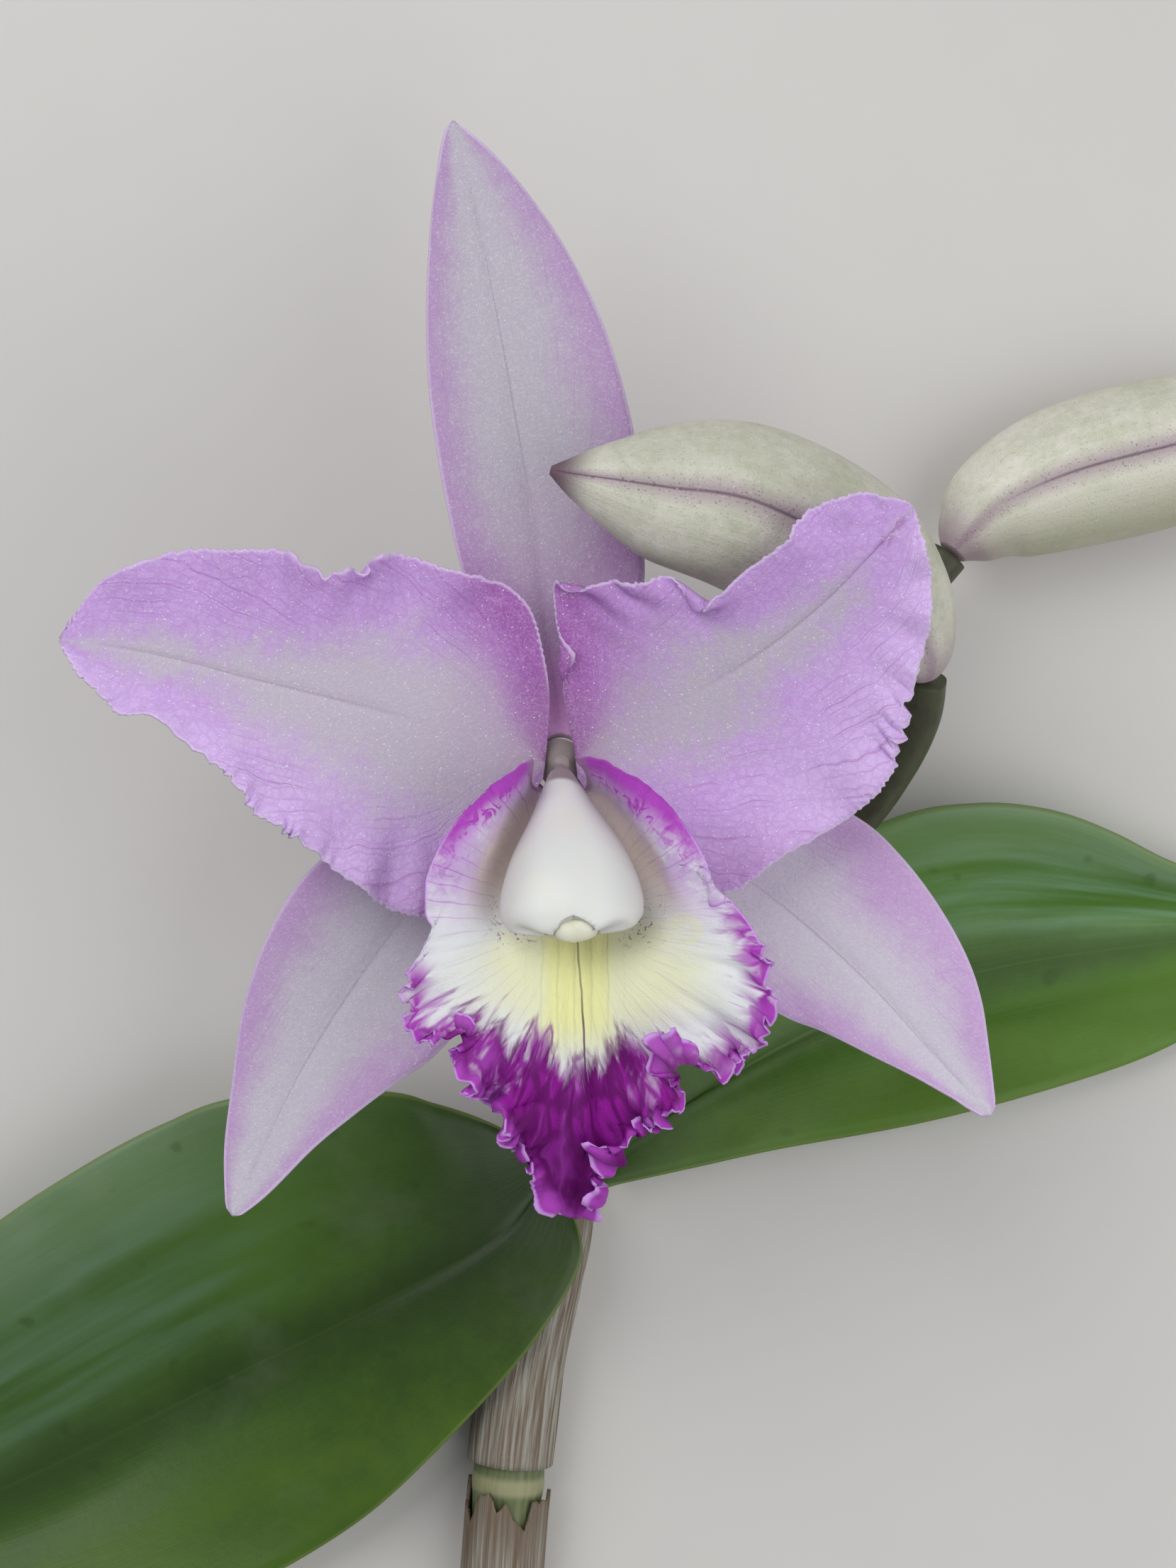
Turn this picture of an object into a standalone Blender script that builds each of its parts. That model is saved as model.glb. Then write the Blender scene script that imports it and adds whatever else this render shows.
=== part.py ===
# Cattleya orchid: one flowering growth, cut through its cane and laid on its back.
#
# The open flower faces up (+Z) and its dorsal sepal points to +Y. The surface is the plane z = 0.
# Sizes below are in millimetres, and every point is (x, y, z) with x = y = 0 near the flower's centre.

import math

import bmesh
import bpy
from mathutils import Matrix, Vector

MM = 0.001

# Thickness of the blades
SEPAL_THICK = 0.9
PETAL_THICK = 0.8
LIP_THICK = 0.8
LEAF_THICK = 1.6
PAPER_THICK = 0.6

# From the middle of the whole growth's outline, which is the part's origin, to x = y = 0 below
FLOWER_AT = (6.65, 44.7)

# Narrow neck on top of the flower's stalk, between the petals' claws
NECK_TOP = 58.7
NECK_RADIUS = 1.2
NECK_FROM = 0.92

# Lowest height of the middle of a leaf, of a dry sheath and of the cane, so that the leaf's and the
# sheath's undersides lie on the surface and the cane keeps a gap to its sheath
LEAF_LOW = LEAF_THICK / 2
SHEATH_LOW = PAPER_THICK / 2
CANE_LOW = PAPER_THICK + 0.3

# Sepals: outer edge, midrib and inner edge, each from the claw to the tip
DORSAL_SEPAL = (
    ((-2.4, 0.6, 54.9), (-5, 6.5, 55), (-8.5, 14, 54.6), (-13, 22, 54.2), (-16, 34.5, 53.7),
     (-18, 47.5, 53), (-18.5, 60.5, 52.3), (-17.8, 73.5, 51), (-16.8, 81.5, 50), (-15.8, 86.3, 49)),
    ((0.3, 1, 54.6), (-1.5, 14, 53.8), (-3, 27.5, 52.8), (-5.5, 41.5, 52), (-8, 55.5, 51.2),
     (-11, 70.5, 50), (-14.9, 86.8, 48.9)),
    ((3, 0.6, 54.9), (5.5, 7.5, 55), (9.5, 15, 54.6), (11.8, 21.5, 54.2), (11.5, 29.5, 53.7),
     (10.5, 42, 53), (7, 55.5, 52.2), (2, 66.5, 51.4), (-3, 74.5, 50.5), (-9, 81.8, 49.8),
     (-14, 86.3, 49)),
)
LEFT_SEPAL = (
    ((-3.4, -3.6, 54.9), (-9, -5, 55.4), (-18.5, -8, 55.5), (-28.5, -13.5, 55), (-35.5, -19.5, 54.5),
     (-40.5, -27.5, 53.5), (-44, -37.5, 52.5), (-45.7, -48.5, 51.5), (-46.8, -57.5, 51),
     (-46.6, -66.2, 51)),
    ((-3.2, -5.6, 54.6), (-10, -12, 53.8), (-18.5, -21, 53.2), (-27.5, -33, 52.2), (-35.5, -45.5, 51.2),
     (-41.5, -57.5, 50.7), (-45.7, -66.8, 50.9)),
    ((-1.4, -7.4, 54.9), (-3, -13, 54.9), (-5.5, -24, 54.3), (-9.5, -34.5, 53.7), (-16.5, -43.5, 53.1),
     (-22.5, -48, 52.7), (-28.5, -52.5, 52.4), (-34.5, -57.5, 52), (-40.5, -63.6, 51.4),
     (-44.8, -67, 51)),
)
RIGHT_SEPAL = (
    ((4, -3.4, 54.9), (11, -3.6, 55.4), (22.5, -4.5, 55.5), (33.5, -7, 55), (42, -11.5, 55),
     (47.5, -16.5, 54.5), (52.5, -23, 54), (56.5, -30, 53.5), (58.8, -36.5, 53), (60, -44, 52.5),
     (61, -51.9, 52)),
    ((3.8, -5.4, 54.6), (11, -9.5, 53.8), (21, -16, 53.2), (32.5, -24.5, 52.6), (43.5, -34.5, 52),
     (52.5, -44.5, 51.8), (60.2, -52.7, 51.9)),
    ((2.2, -7.3, 54.9), (4.5, -13, 54.9), (9.5, -21.5, 54.4), (18, -30, 54), (30, -38, 53.5),
     (36.5, -40.8, 53.2), (43.5, -44.2, 53), (51, -48, 52.6), (55.5, -50.6, 52.2), (59.2, -53, 52)),
)

# Petals: upper edge, midrib and lower edge
LEFT_PETAL = (
    ((-1.7, -2.2, 57.5), (-1.2, 5, 59.2), (-2, 11.3, 61.2), (-4.2, 18, 62.8), (-10, 21.6, 64),
     (-17, 23.2, 65.2), (-23.5, 24.6, 66), (-28, 22.6, 66.8), (-32.5, 22.6, 67.5), (-38, 24.8, 68),
     (-46, 25, 68), (-54, 24, 68), (-61, 21, 67.5), (-66, 14.8, 66.5)),
    ((-1.9, -3.9, 57.3), (-9, -1, 58.2), (-18, 2, 59.6), (-29.5, 5, 61.3), (-42, 8, 63), (-54, 11, 65),
     (-66.9, 13, 66.4)),
    ((-2.1, -5.6, 57.5), (-5.5, -11, 58.6), (-9.5, -17.5, 60.2), (-17, -24.5, 62), (-25, -22, 63.5),
     (-33, -15.5, 65), (-40, -11, 66), (-45.5, -4.5, 66.5), (-52, 1, 67), (-59.5, 3.8, 67),
     (-64.6, 8.6, 66.8), (-66.6, 11.8, 66.5)),
)
RIGHT_PETAL = (
    ((2.3, -2, 57.5), (0.7, 4.8, 59), (-0.2, 11.5, 61.2), (-0.6, 17, 63.2), (-0.4, 21.5, 64.6),
     (4, 21, 66), (9.5, 20.5, 67.5), (14, 21, 69), (18.5, 18, 70.5), (23.5, 20.5, 73), (29, 24.5, 75.8),
     (32, 28.5, 76.8), (38, 31.5, 77.2), (43, 31.2, 77.2), (45.8, 30.6, 76.7)),
    ((2.5, -3.8, 57.3), (8.5, 0, 58.8), (16.5, 5, 62.5), (26, 10.5, 67), (34.5, 17, 71), (41, 23.5, 74.5),
     (46.6, 29.7, 76.5)),
    ((2.6, -5.6, 57.5), (6, -10.5, 58.6), (12, -16.5, 60.2), (22, -21.5, 62), (31, -16, 64),
     (38.5, -11.5, 65.5), (44, -6.5, 67), (46.5, 0, 68.3), (47.8, 7.5, 69.8), (49.5, 15, 71.8),
     (49.2, 22, 74), (47.7, 27, 75.8), (47.1, 28.7, 76.5)),
)

# Lip: free edge, crest and foot of the left side, midline, and the same three on the right. The first
# half of each line is the side lobe beside the column, the second half the frilled front lobe.
LIP = (
    ((-3.2, -3.2, 70), (-4.6, -4, 71.2), (-6.8, -5.3, 72.5), (-10, -8, 74.5), (-12.7, -10.7, 75.8),
     (-15.3, -14.5, 76.6), (-17, -18.5, 77), (-17.4, -23, 76.5), (-17.6, -27.5, 76.3), (-19.6, -31.8, 77),
     (-21, -36, 77), (-18.5, -40.5, 76), (-14.5, -44, 75.5), (-12, -47.5, 74), (-8, -50, 73),
     (-7.5, -53.5, 71.5), (-5, -57.5, 69), (-2.5, -61.5, 66.3), (0.3, -64.6, 63.3)),
    ((-3.6, -4.6, 66), (-6.6, -7.6, 71), (-9.2, -12.2, 74.8), (-12.5, -20.5, 75), (-12.5, -34, 75.5),
     (-7.5, -43, 74.5), (-3, -53, 71.5), (0.9, -64.8, 63.2)),
    ((-3.3, -6.8, 61), (-5, -9.5, 62.5), (-7, -14.5, 65.5), (-8.2, -22.5, 69), (-5, -33, 72.5),
     (-1.5, -43, 73.3), (1, -52.5, 71), (1.5, -65, 63.1)),
    ((0.3, -7.7, 59.3), (0.5, -11, 60.2), (1, -16, 61.8), (2, -24, 65.3), (3, -33, 70), (3.5, -42.5, 72),
     (4, -52, 70), (2.1, -65, 63)),
    ((3.9, -6.8, 61), (7, -9.5, 62.5), (10, -14.5, 65), (13.2, -22, 69), (11.5, -32, 72.5), (10, -42, 73),
     (6, -51.8, 71.3), (2.7, -65, 63.1)),
    ((3.8, -4.4, 66), (8.5, -7.5, 71.3), (12, -12, 74.8), (16, -19.5, 75.5), (20, -30.5, 75.5),
     (16.5, -41.5, 74.5), (8.2, -51.5, 72.3), (3.3, -64.8, 63.2)),
    ((2.3, -2.8, 70), (4.5, -2.9, 71.5), (7.2, -4, 73), (10.5, -5.8, 74.5), (13.5, -8, 75.5),
     (16.5, -11.5, 76.5), (19, -15.5, 77), (20.5, -19, 77), (23, -21.8, 76.8), (26, -26, 76.3),
     (28, -31, 75.8), (28.5, -36, 75.2), (27.5, -40.5, 74.5), (24, -44.5, 74), (20, -47.5, 74),
     (16, -51.2, 73.6), (11.5, -53.6, 72.6), (8.4, -57, 69.5), (7, -61, 66.5), (4.4, -64.3, 63.4)),
)

# Column: its axis from the ovary to the hood, and its half width, back and front depth along it
COLUMN_AXIS = (
    (0.3, -3.8, 59), (0.4, -6, 62), (0.8, -9.6, 65.6), (1.3, -14.3, 69.3), (1.7, -19.2, 72.6),
    (2, -24, 75), (2.1, -26.2, 75.4),
)
COLUMN_WIDTH = (0, 1.5, 1.8, 2.5, 3.4, 4.3, 5.5, 6.8, 7.9, 8.7, 9.3, 9.5, 9, 7.2, 0)
COLUMN_BACK = (0, 1.5, 1.9, 2.2, 2.5, 2.8, 3.1, 3.4, 3.6, 3.7, 3.7, 3.5, 3, 2.2, 0)
COLUMN_FRONT = (0, 1.3, 1.5, 1.6, 1.6, 1.6, 1.5, 1.5, 1.4, 1.4, 1.3, 1.2, 1.1, 0.9, 0)

# Anther cap, set in a notch of the column's lower edge
CAP_AXIS = ((2.1, -23.8, 75), (2.2, -25.6, 75.8), (2.3, -27.8, 75.4))
CAP_WIDTH = (0, 2, 2.9, 3.1, 2.4, 0)
CAP_DEPTH = (0, 1.2, 1.7, 1.7, 1.2, 0)
CAP_CLEARANCE = 0.4
CAP_GROOVE_DEPTH = 0.14
CAP_GROOVE_ANGLE = 0.35

# Buds: axis from the base to the tip, and radius along it
FRONT_BUD_AXIS = (
    (51.6, 9.2, 46.8), (50.2, 12.8, 49.5), (46, 18.6, 53), (38.5, 25.3, 57), (25.5, 31.2, 60.8),
    (14, 33, 63.5), (7, 34.2, 65), (2.5, 35, 65.6), (-1, 35.8, 66),
)
FRONT_BUD_RADIUS = (2.3, 5.8, 9.3, 11.4, 11.6, 9.4, 5.9, 3.2, 0.6)
REAR_BUD_AXIS = (
    (59.8, 29, 12.4), (62, 31.6, 11.9), (67, 36, 11.2), (77, 40.5, 10.3), (92, 44.5, 10.2),
    (105, 47.7, 10.3), (113, 49.7, 10.6), (118, 51, 11.2), (121.5, 51.8, 11.6),
)
REAR_BUD_RADIUS = (2.2, 5.4, 8.8, 11.1, 11.5, 9.5, 6.2, 3.3, 0.6)
BUD_SEAMS = 3
BUD_SEAM_DEPTH = 0.04

# Stalks: axis and radius of the peduncle and of the three stalks that branch from its end
PEDUNCLE = (
    (0.9, -63.6, 7.6), (1.6, -60, 9.6), (3, -54, 13), (5.5, -46, 18), (8, -38, 22), (8.6, -35.4, 23.2),
)
PEDUNCLE_RADIUS = (2.6, 2.6, 2.7, 2.8, 3, 1.4)
FLOWER_STALK = (
    (8, -38.6, 21.6), (7.2, -30, 26), (4.4, -18.5, 33), (1.6, -9, 41.5), (0.4, -4.4, 49), (0.3, -3.6, 54),
    (0.3, -3.6, NECK_TOP),
)
FLOWER_STALK_RADIUS = (2.2, 2.2, 2.3, 2.6, 3, 3.3, 3.4)
FRONT_STALK = (
    (7.6, -38.2, 21.8), (20, -30, 25), (33, -21, 29), (43, -12.5, 33), (48.5, -4, 38.2), (51.2, 3, 42.4),
    (51.9, 8.4, 46.1),
)
FRONT_STALK_RADIUS = (2.2, 2.2, 2.3, 2.5, 2.8, 3.1, 2.9)
REAR_STALK = (
    (7.8, -38.6, 21.6), (16, -30, 19), (28, -15, 15.4), (41, 3, 13.2), (51, 18, 12.6), (59.3, 28.5, 12.5),
)
REAR_STALK_RADIUS = (2.1, 2.1, 2.2, 2.4, 2.7, 3)

# Cane, cut through at its lower end, with its joints at these shares of its length
CANE_AXIS = (
    (-8, -176, 5.1), (-9.3, -150, 5.4), (-9.3, -128, 5.7), (-6.5, -98, 6), (-1.8, -76, 6.4),
    (0.4, -65.2, 6.8),
)
CANE_RADIUS = (4.2, 4.7, 5.1, 5.4, 5, 3.4)
CANE_JOINTS = (0.2, 0.49, 0.8)
CANE_JOINT_SWELL = 0.35
CANE_JOINT_LENGTH = 0.012

# Papery sheaths round the cane: first and last share of the cane's length, clearance to the cane, and
# how far the torn upper end stands out
LOWER_CANE_SHEATH = (0.04, 0.47)
UPPER_CANE_SHEATH = (0.51, 0.86)
SHEATH_CLEARANCE = 0.7
CANE_SHEATH_TEAR = 0.2

# Dry flower sheath round the foot of the peduncle, with the angle of the slit along its upper side
FLOWER_SHEATH_SPAN = (0.1, 0.5)
FLOWER_SHEATH_RADIUS = (3.4, 4)
FLOWER_SHEATH_TEAR = 0.5
FLOWER_SHEATH_SPLIT = 0.5

# Leaves: upper edge, half way, midrib, half way and lower edge, from the cane to the tip
LEFT_LEAF = (
    ((-4.6, -62.2, 11), (-11, -58, 14), (-19, -55, 16), (-27.5, -53, 17), (-49, -54, 16),
     (-61, -58.5, 14.5), (-73.5, -65, 13), (-85.5, -73, 11.5), (-103, -87, 9), (-120, -105, 6.5),
     (-130, -120, 4.5), (-134.4, -131, 2.8)),
    ((-3.6, -64, 12.2), (-12, -66, 14.2), (-23, -68, 14.2), (-38, -73, 11.2), (-56, -82, 7.5),
     (-76, -93, 4.6), (-100, -108, 3), (-121, -122, 2.6), (-135, -132.8, 2.3)),
    ((-2.5, -67, 13), (-10, -75.5, 15), (-28, -86, 12), (-48, -97, 4.5), (-68, -107.5, -1.5),
     (-88, -117, -3), (-112, -127, -1.5), (-135.2, -134.4, 2)),
    ((-0.5, -69.4, 13.4), (-4, -79, 15.3), (-20, -94, 13.2), (-38, -107, 8.4), (-58, -118.5, 4.8),
     (-78, -127, 3.2), (-100, -133.5, 2.8), (-120, -136.5, 2.6), (-134.8, -136, 2.3)),
    ((1.6, -71.4, 13.6), (3, -79, 15.5), (-4, -91, 16), (-16, -105, 14), (-29, -118, 11), (-44, -128, 9),
     (-60, -135.5, 8), (-80, -141, 7), (-100, -143.5, 6), (-118, -142.5, 4), (-133.8, -137.2, 2.5)),
)
RIGHT_LEAF = (
    ((6.3, -61.6, 9.4), (10.5, -51, 11), (18, -37, 13), (32, -21.5, 14), (51, -11.5, 14),
     (63.5, -9.5, 13.5), (74, -10.5, 12.5), (85, -14, 11), (95, -19, 9), (107, -22.6, 6),
     (116, -24.4, 3.8), (121, -25.6, 2.6)),
    ((6.2, -63.4, 8), (15, -52, 8.5), (29, -37, 8.2), (46, -26.5, 6.8), (64, -22, 4.8), (84, -23, 3.6),
     (104, -25.8, 2.4), (121.6, -26.9, 2.3)),
    ((6.3, -65.2, 7), (20, -55.5, 5.8), (38, -45.5, 2.5), (55, -39, -1.5), (72, -34.5, -3),
     (97, -31, -1.5), (121.9, -28.3, 2.2)),
    ((6.4, -67, 7.6), (20, -59.5, 6), (37, -53, 4), (56, -48, 2.8), (74, -43.5, 2.4), (97, -37.6, 2.2),
     (121.6, -29.7, 2.3)),
    ((6.2, -68.8, 9), (11, -67.8, 8), (22.5, -65.5, 6.4), (34.5, -63, 5.6), (59, -58.5, 5),
     (83.5, -51.5, 5), (96, -46.5, 4.6), (108, -39.6, 3.6), (116.5, -34.2, 2.8), (121, -31, 2.6)),
)

# Ruffles along a blade's edges: how many on each side, their height, the share of the half width where
# they begin, the shares of the length between which they run, and a number that places them
PETAL_WAVES = {"count": 9, "height": 1.2, "inner": 0.45, "start": 0.18, "end": 0.97, "seed": 1.3}
RIGHT_PETAL_WAVES = {"count": 9, "height": 1.2, "inner": 0.45, "start": 0.2, "end": 0.97, "seed": 4.1}
LIP_WAVES = {"count": 11, "height": 2.3, "inner": 0.45, "start": 0.5, "end": 0.95, "seed": 2.2}
LEAF_WAVES = {"count": 2, "height": 0.5, "inner": 0.4, "start": 0.2, "end": 0.9, "seed": 0.7}
FLAT = {"count": 1, "height": 0, "inner": 0.5, "start": 0.2, "end": 0.9, "seed": 0}

# Faces across and along each blade
SEPAL_FACES = (8, 20)
PETAL_FACES = (10, 54)
LIP_FACES = (12, 64)
LEAF_FACES = (8, 22)

COLOURS = {
    "dorsal_sepal": (0.78, 0.66, 0.80),
    "left_sepal": (0.78, 0.66, 0.80),
    "right_sepal": (0.78, 0.66, 0.80),
    "left_petal": (0.74, 0.56, 0.80),
    "right_petal": (0.74, 0.56, 0.80),
    "lip": (0.52, 0.08, 0.55),
    "column": (0.86, 0.87, 0.82),
    "anther_cap": (0.88, 0.86, 0.70),
    "front_bud": (0.50, 0.50, 0.30),
    "rear_bud": (0.55, 0.56, 0.36),
    "flower_stalks": (0.05, 0.09, 0.03),
    "flower_sheath": (0.30, 0.20, 0.12),
    "left_leaf": (0.06, 0.16, 0.03),
    "right_leaf": (0.06, 0.16, 0.03),
    "cane": (0.22, 0.28, 0.14),
    "lower_cane_sheath": (0.55, 0.54, 0.48),
    "upper_cane_sheath": (0.55, 0.54, 0.48),
}
ROUGHNESS = {"left_leaf": 0.35, "right_leaf": 0.35, "column": 0.4}
DEFAULT_ROUGHNESS = 0.55


def remove_everything():
    for thing in list(bpy.data.objects):
        bpy.data.objects.remove(thing, do_unlink=True)


def smooth(share):
    share = min(1.0, max(0.0, share))
    return share * share * (3 - 2 * share)


def along(points, share):
    """Point at a share of the way along a smooth line through evenly spaced points."""
    spans = len(points) - 1
    place = min(1.0, max(0.0, share)) * spans
    first = min(int(place), spans - 1)
    t = place - first
    before, start, end, after = (Vector(points[min(max(first + k, 0), spans)]) for k in (-1, 0, 1, 2))
    return (start * 2 + (end - before) * t + (before * 2 - start * 5 + end * 4 - after) * t**2
            + (start * 3 - before - end * 3 + after) * t**3) / 2


def value(numbers, share):
    """The same for a row of plain numbers."""
    return along([(number, 0, 0) for number in numbers], share).x


def across(lines, u, v):
    """Point of a blade: v runs from claw to tip, u from its first line to its last."""
    points = [along(line, v) for line in lines]
    if len(points) == 3:
        first, middle, last = points
        return first * (2 * u * u - 3 * u + 1) + middle * (4 * u - 4 * u * u) + last * (2 * u * u - u)
    return along(points, u)


def wave(u, v, waves):
    """Height of the ruffles at a point of a blade, largest at its edge, with uneven sizes and spacing."""
    edge = abs(2 * u - 1)
    side = 1 if u > 0.5 else -1
    reach = smooth((edge - waves["inner"]) / (1 - waves["inner"])) ** 1.3
    ends = smooth((v - waves["start"]) / 0.12) * smooth((waves["end"] - v) / 0.1)
    drift = 0.3 * math.sin(2 * math.pi * (1.7 * v + side * 0.21) + waves["seed"])
    turn = 2 * math.pi * (waves["count"] * v + drift + side * 0.17)
    size = 0.75 + 0.25 * math.sin(2 * math.pi * 2.3 * v + 2 * waves["seed"] + side)
    return waves["height"] * reach * ends * size * math.sin(turn)


def blade_point(lines, waves, lowest, u, v):
    point = across(lines, u, v)
    height = wave(u, v, waves)
    if height:
        step = 0.01
        sideways = across(lines, min(u + step, 1), v) - across(lines, max(u - step, 0), v)
        forward = across(lines, u, min(v + step, 1)) - across(lines, u, max(v - step, 0))
        point = point + sideways.cross(forward).normalized() * height
    point.z = max(point.z, lowest)
    return point


def new_object(name, mesh_maker, collection):
    """Object with the mesh that mesh_maker builds, in its own material."""
    mesh = bpy.data.meshes.new(name)
    bm = bmesh.new()
    mesh_maker(bm)
    bm.to_mesh(mesh)
    bm.free()
    made = bpy.data.objects.new(name, mesh)
    collection.objects.link(made)
    mesh.shade_smooth()
    return made


def add_material(made):
    name = made.name
    material = bpy.data.materials.new(name)
    material.use_nodes = True
    shader = material.node_tree.nodes["Principled BSDF"]
    shader.inputs["Base Color"].default_value = (*COLOURS[name], 1)
    shader.inputs["Roughness"].default_value = ROUGHNESS.get(name, DEFAULT_ROUGHNESS)
    shader.inputs["Metallic"].default_value = 0
    made.data.materials.append(material)


def blade(name, lines, thick, size, collection, waves=FLAT, lowest=-math.inf):
    """Thin blade through its lines; size is the number of faces across and along."""
    def make(bm):
        bmesh.ops.create_grid(bm, x_segments=size[0], y_segments=size[1], size=1)
        for vert in bm.verts:
            vert.co = blade_point(lines, waves, lowest, (vert.co.x + 1) / 2, (vert.co.y + 1) / 2) * MM
        bmesh.ops.triangulate(bm, faces=bm.faces[:], quad_method="FIXED")
    made = new_object(name, make, collection)
    wall = made.modifiers.new("Thickness", "SOLIDIFY")
    wall.thickness = thick * MM
    wall.offset = 0
    add_material(made)
    return made


def frame_at(axis, share, up):
    """Centre, sideways and upward direction of a round body's cross-section."""
    step = 0.02
    forward = (along(axis, min(share + step, 1)) - along(axis, max(share - step, 0))).normalized()
    sideways = forward.cross(up).normalized()
    return along(axis, share), sideways, sideways.cross(forward).normalized()


def round_body(axis, section, up=Vector((0, 0, 1)), sides=16, rings=12, flat_ends=False, lowest=-math.inf):
    """Maker of a closed body along an axis; section(share, angle) gives its width and height there."""
    def make(bm):
        bmesh.ops.create_uvsphere(bm, u_segments=sides, v_segments=rings, radius=1)
        for vert in bm.verts:
            turn = math.acos(max(-1.0, min(1.0, vert.co.z))) / math.pi
            angle = math.atan2(vert.co.y, vert.co.x)
            at_pole = turn < 1e-4 or turn > 1 - 1e-4
            share = (turn * rings - 1) / (rings - 2) if flat_ends else turn
            share = min(1.0, max(0.0, share))
            centre, sideways, upward = frame_at(axis, share, up)
            width, height = (0, 0) if at_pole else section(share, angle)
            vert.co = centre + sideways * width * math.cos(angle) + upward * height * math.sin(angle)
            vert.co.z = max(vert.co.z, lowest)
            vert.co *= MM
        bm.normal_update()
        bmesh.ops.recalc_face_normals(bm, faces=bm.faces[:])
    return make


def stalk_section(radii, neck_from=math.inf):
    def section(share, angle):
        radius = NECK_RADIUS if share > neck_from else value(radii, share)
        return radius, radius
    return section


def bud_section(radii):
    """Round section with a shallow seam between each two of the closed sepals."""
    def section(share, angle):
        seam = 1 - BUD_SEAM_DEPTH * (1 - abs(math.sin(BUD_SEAMS * (angle - math.pi / 2) / 2))) ** 2
        radius = value(radii, share) * seam
        return radius, radius
    return section


def cane_section(share, angle):
    swell = sum(math.exp(-((share - joint) / CANE_JOINT_LENGTH) ** 2) for joint in CANE_JOINTS)
    radius = value(CANE_RADIUS, share) + CANE_JOINT_SWELL * swell
    return radius, radius


def column_section(share, angle):
    depths = COLUMN_BACK if math.sin(angle) > 0 else COLUMN_FRONT
    return value(COLUMN_WIDTH, share), value(depths, share)


def cap_section(extra):
    def section(share, angle):
        groove = 1 - CAP_GROOVE_DEPTH * math.exp(-((angle - math.pi / 2) / CAP_GROOVE_ANGLE) ** 2)
        return value(CAP_WIDTH, share) + extra, (value(CAP_DEPTH, share) + extra) * groove
    return section


def sheath(name, axis, radius, span, tear, collection, lowest=-math.inf, sides=14, split=0.0, rings=6):
    """Papery tube round an axis, open at both ends and, if split is over 0, along one side."""
    def make(bm):
        bmesh.ops.create_grid(bm, x_segments=sides, y_segments=rings, size=1)
        for vert in bm.verts:
            turn = (vert.co.x + 1) / 2
            angle = math.pi / 2 + (split + (2 * math.pi - 2 * split) * turn)
            v = (vert.co.y + 1) / 2
            share = span[0] + (span[1] - span[0]) * v
            centre, sideways, upward = frame_at(axis, share, Vector((0, 0, 1)))
            size = radius(share) + tear * math.sin(3 * angle + 1) * smooth((v - 0.8) / 0.2)
            vert.co = centre + sideways * size * math.cos(angle) + upward * size * math.sin(angle)
            vert.co.z = max(vert.co.z, lowest)
            vert.co *= MM
        bmesh.ops.remove_doubles(bm, verts=bm.verts[:], dist=1e-6)
        bmesh.ops.triangulate(bm, faces=bm.faces[:], quad_method="FIXED")
    made = new_object(name, make, collection)
    wall = made.modifiers.new("Thickness", "SOLIDIFY")
    wall.thickness = PAPER_THICK * MM
    wall.offset = 0
    add_material(made)
    return made


def make_sepals(parts):
    sepals = {"dorsal_sepal": DORSAL_SEPAL, "left_sepal": LEFT_SEPAL, "right_sepal": RIGHT_SEPAL}
    for name, lines in sepals.items():
        blade(name, lines, SEPAL_THICK, SEPAL_FACES, parts)


def make_petals(parts):
    blade("left_petal", LEFT_PETAL, PETAL_THICK, PETAL_FACES, parts, PETAL_WAVES)
    blade("right_petal", RIGHT_PETAL, PETAL_THICK, PETAL_FACES, parts, RIGHT_PETAL_WAVES)


def make_lip(parts):
    blade("lip", LIP, LIP_THICK, LIP_FACES, parts, LIP_WAVES)


def make_column(parts, cutters):
    column = new_object("column", round_body(COLUMN_AXIS, column_section, sides=24, rings=16), parts)
    add_material(column)
    room_for_cap = round_body(CAP_AXIS, cap_section(CAP_CLEARANCE), sides=14, rings=8)
    hollow = new_object("cap_notch", room_for_cap, cutters)
    hollow.hide_render = True
    hollow.display_type = "WIRE"
    cut = column.modifiers.new("Notch", "BOOLEAN")
    cut.operation = "DIFFERENCE"
    cut.object = hollow
    cap = new_object("anther_cap", round_body(CAP_AXIS, cap_section(0), sides=14, rings=8), parts)
    add_material(cap)


def make_buds(parts):
    for name, axis, radii in (
        ("front_bud", FRONT_BUD_AXIS, FRONT_BUD_RADIUS),
        ("rear_bud", REAR_BUD_AXIS, REAR_BUD_RADIUS),
    ):
        maker = round_body(axis, bud_section(radii), sides=18, rings=16, flat_ends=True, lowest=0)
        add_material(new_object(name, maker, parts))


def make_stalks(parts, cutters):
    """Peduncle and its three stalks, which grew as one piece."""
    main = round_body(PEDUNCLE, stalk_section(PEDUNCLE_RADIUS), sides=10, rings=10, flat_ends=True)
    stalks = new_object("flower_stalks", main, parts)
    branches = (
        ("flower_branch", FLOWER_STALK, FLOWER_STALK_RADIUS),
        ("front_branch", FRONT_STALK, FRONT_STALK_RADIUS),
        ("rear_branch", REAR_STALK, REAR_STALK_RADIUS),
    )
    for name, axis, radii in branches:
        upright = name == "flower_branch"
        section = stalk_section(radii, NECK_FROM if upright else math.inf)
        up = Vector((1, 0, 0)) if upright else Vector((0, 0, 1))
        maker = round_body(axis, section, up=up, sides=10, rings=18, flat_ends=True)
        branch = new_object(name, maker, cutters)
        branch.hide_render = True
        branch.display_type = "WIRE"
        join = stalks.modifiers.new(name, "BOOLEAN")
        join.operation = "UNION"
        join.object = branch
    add_material(stalks)


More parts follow.
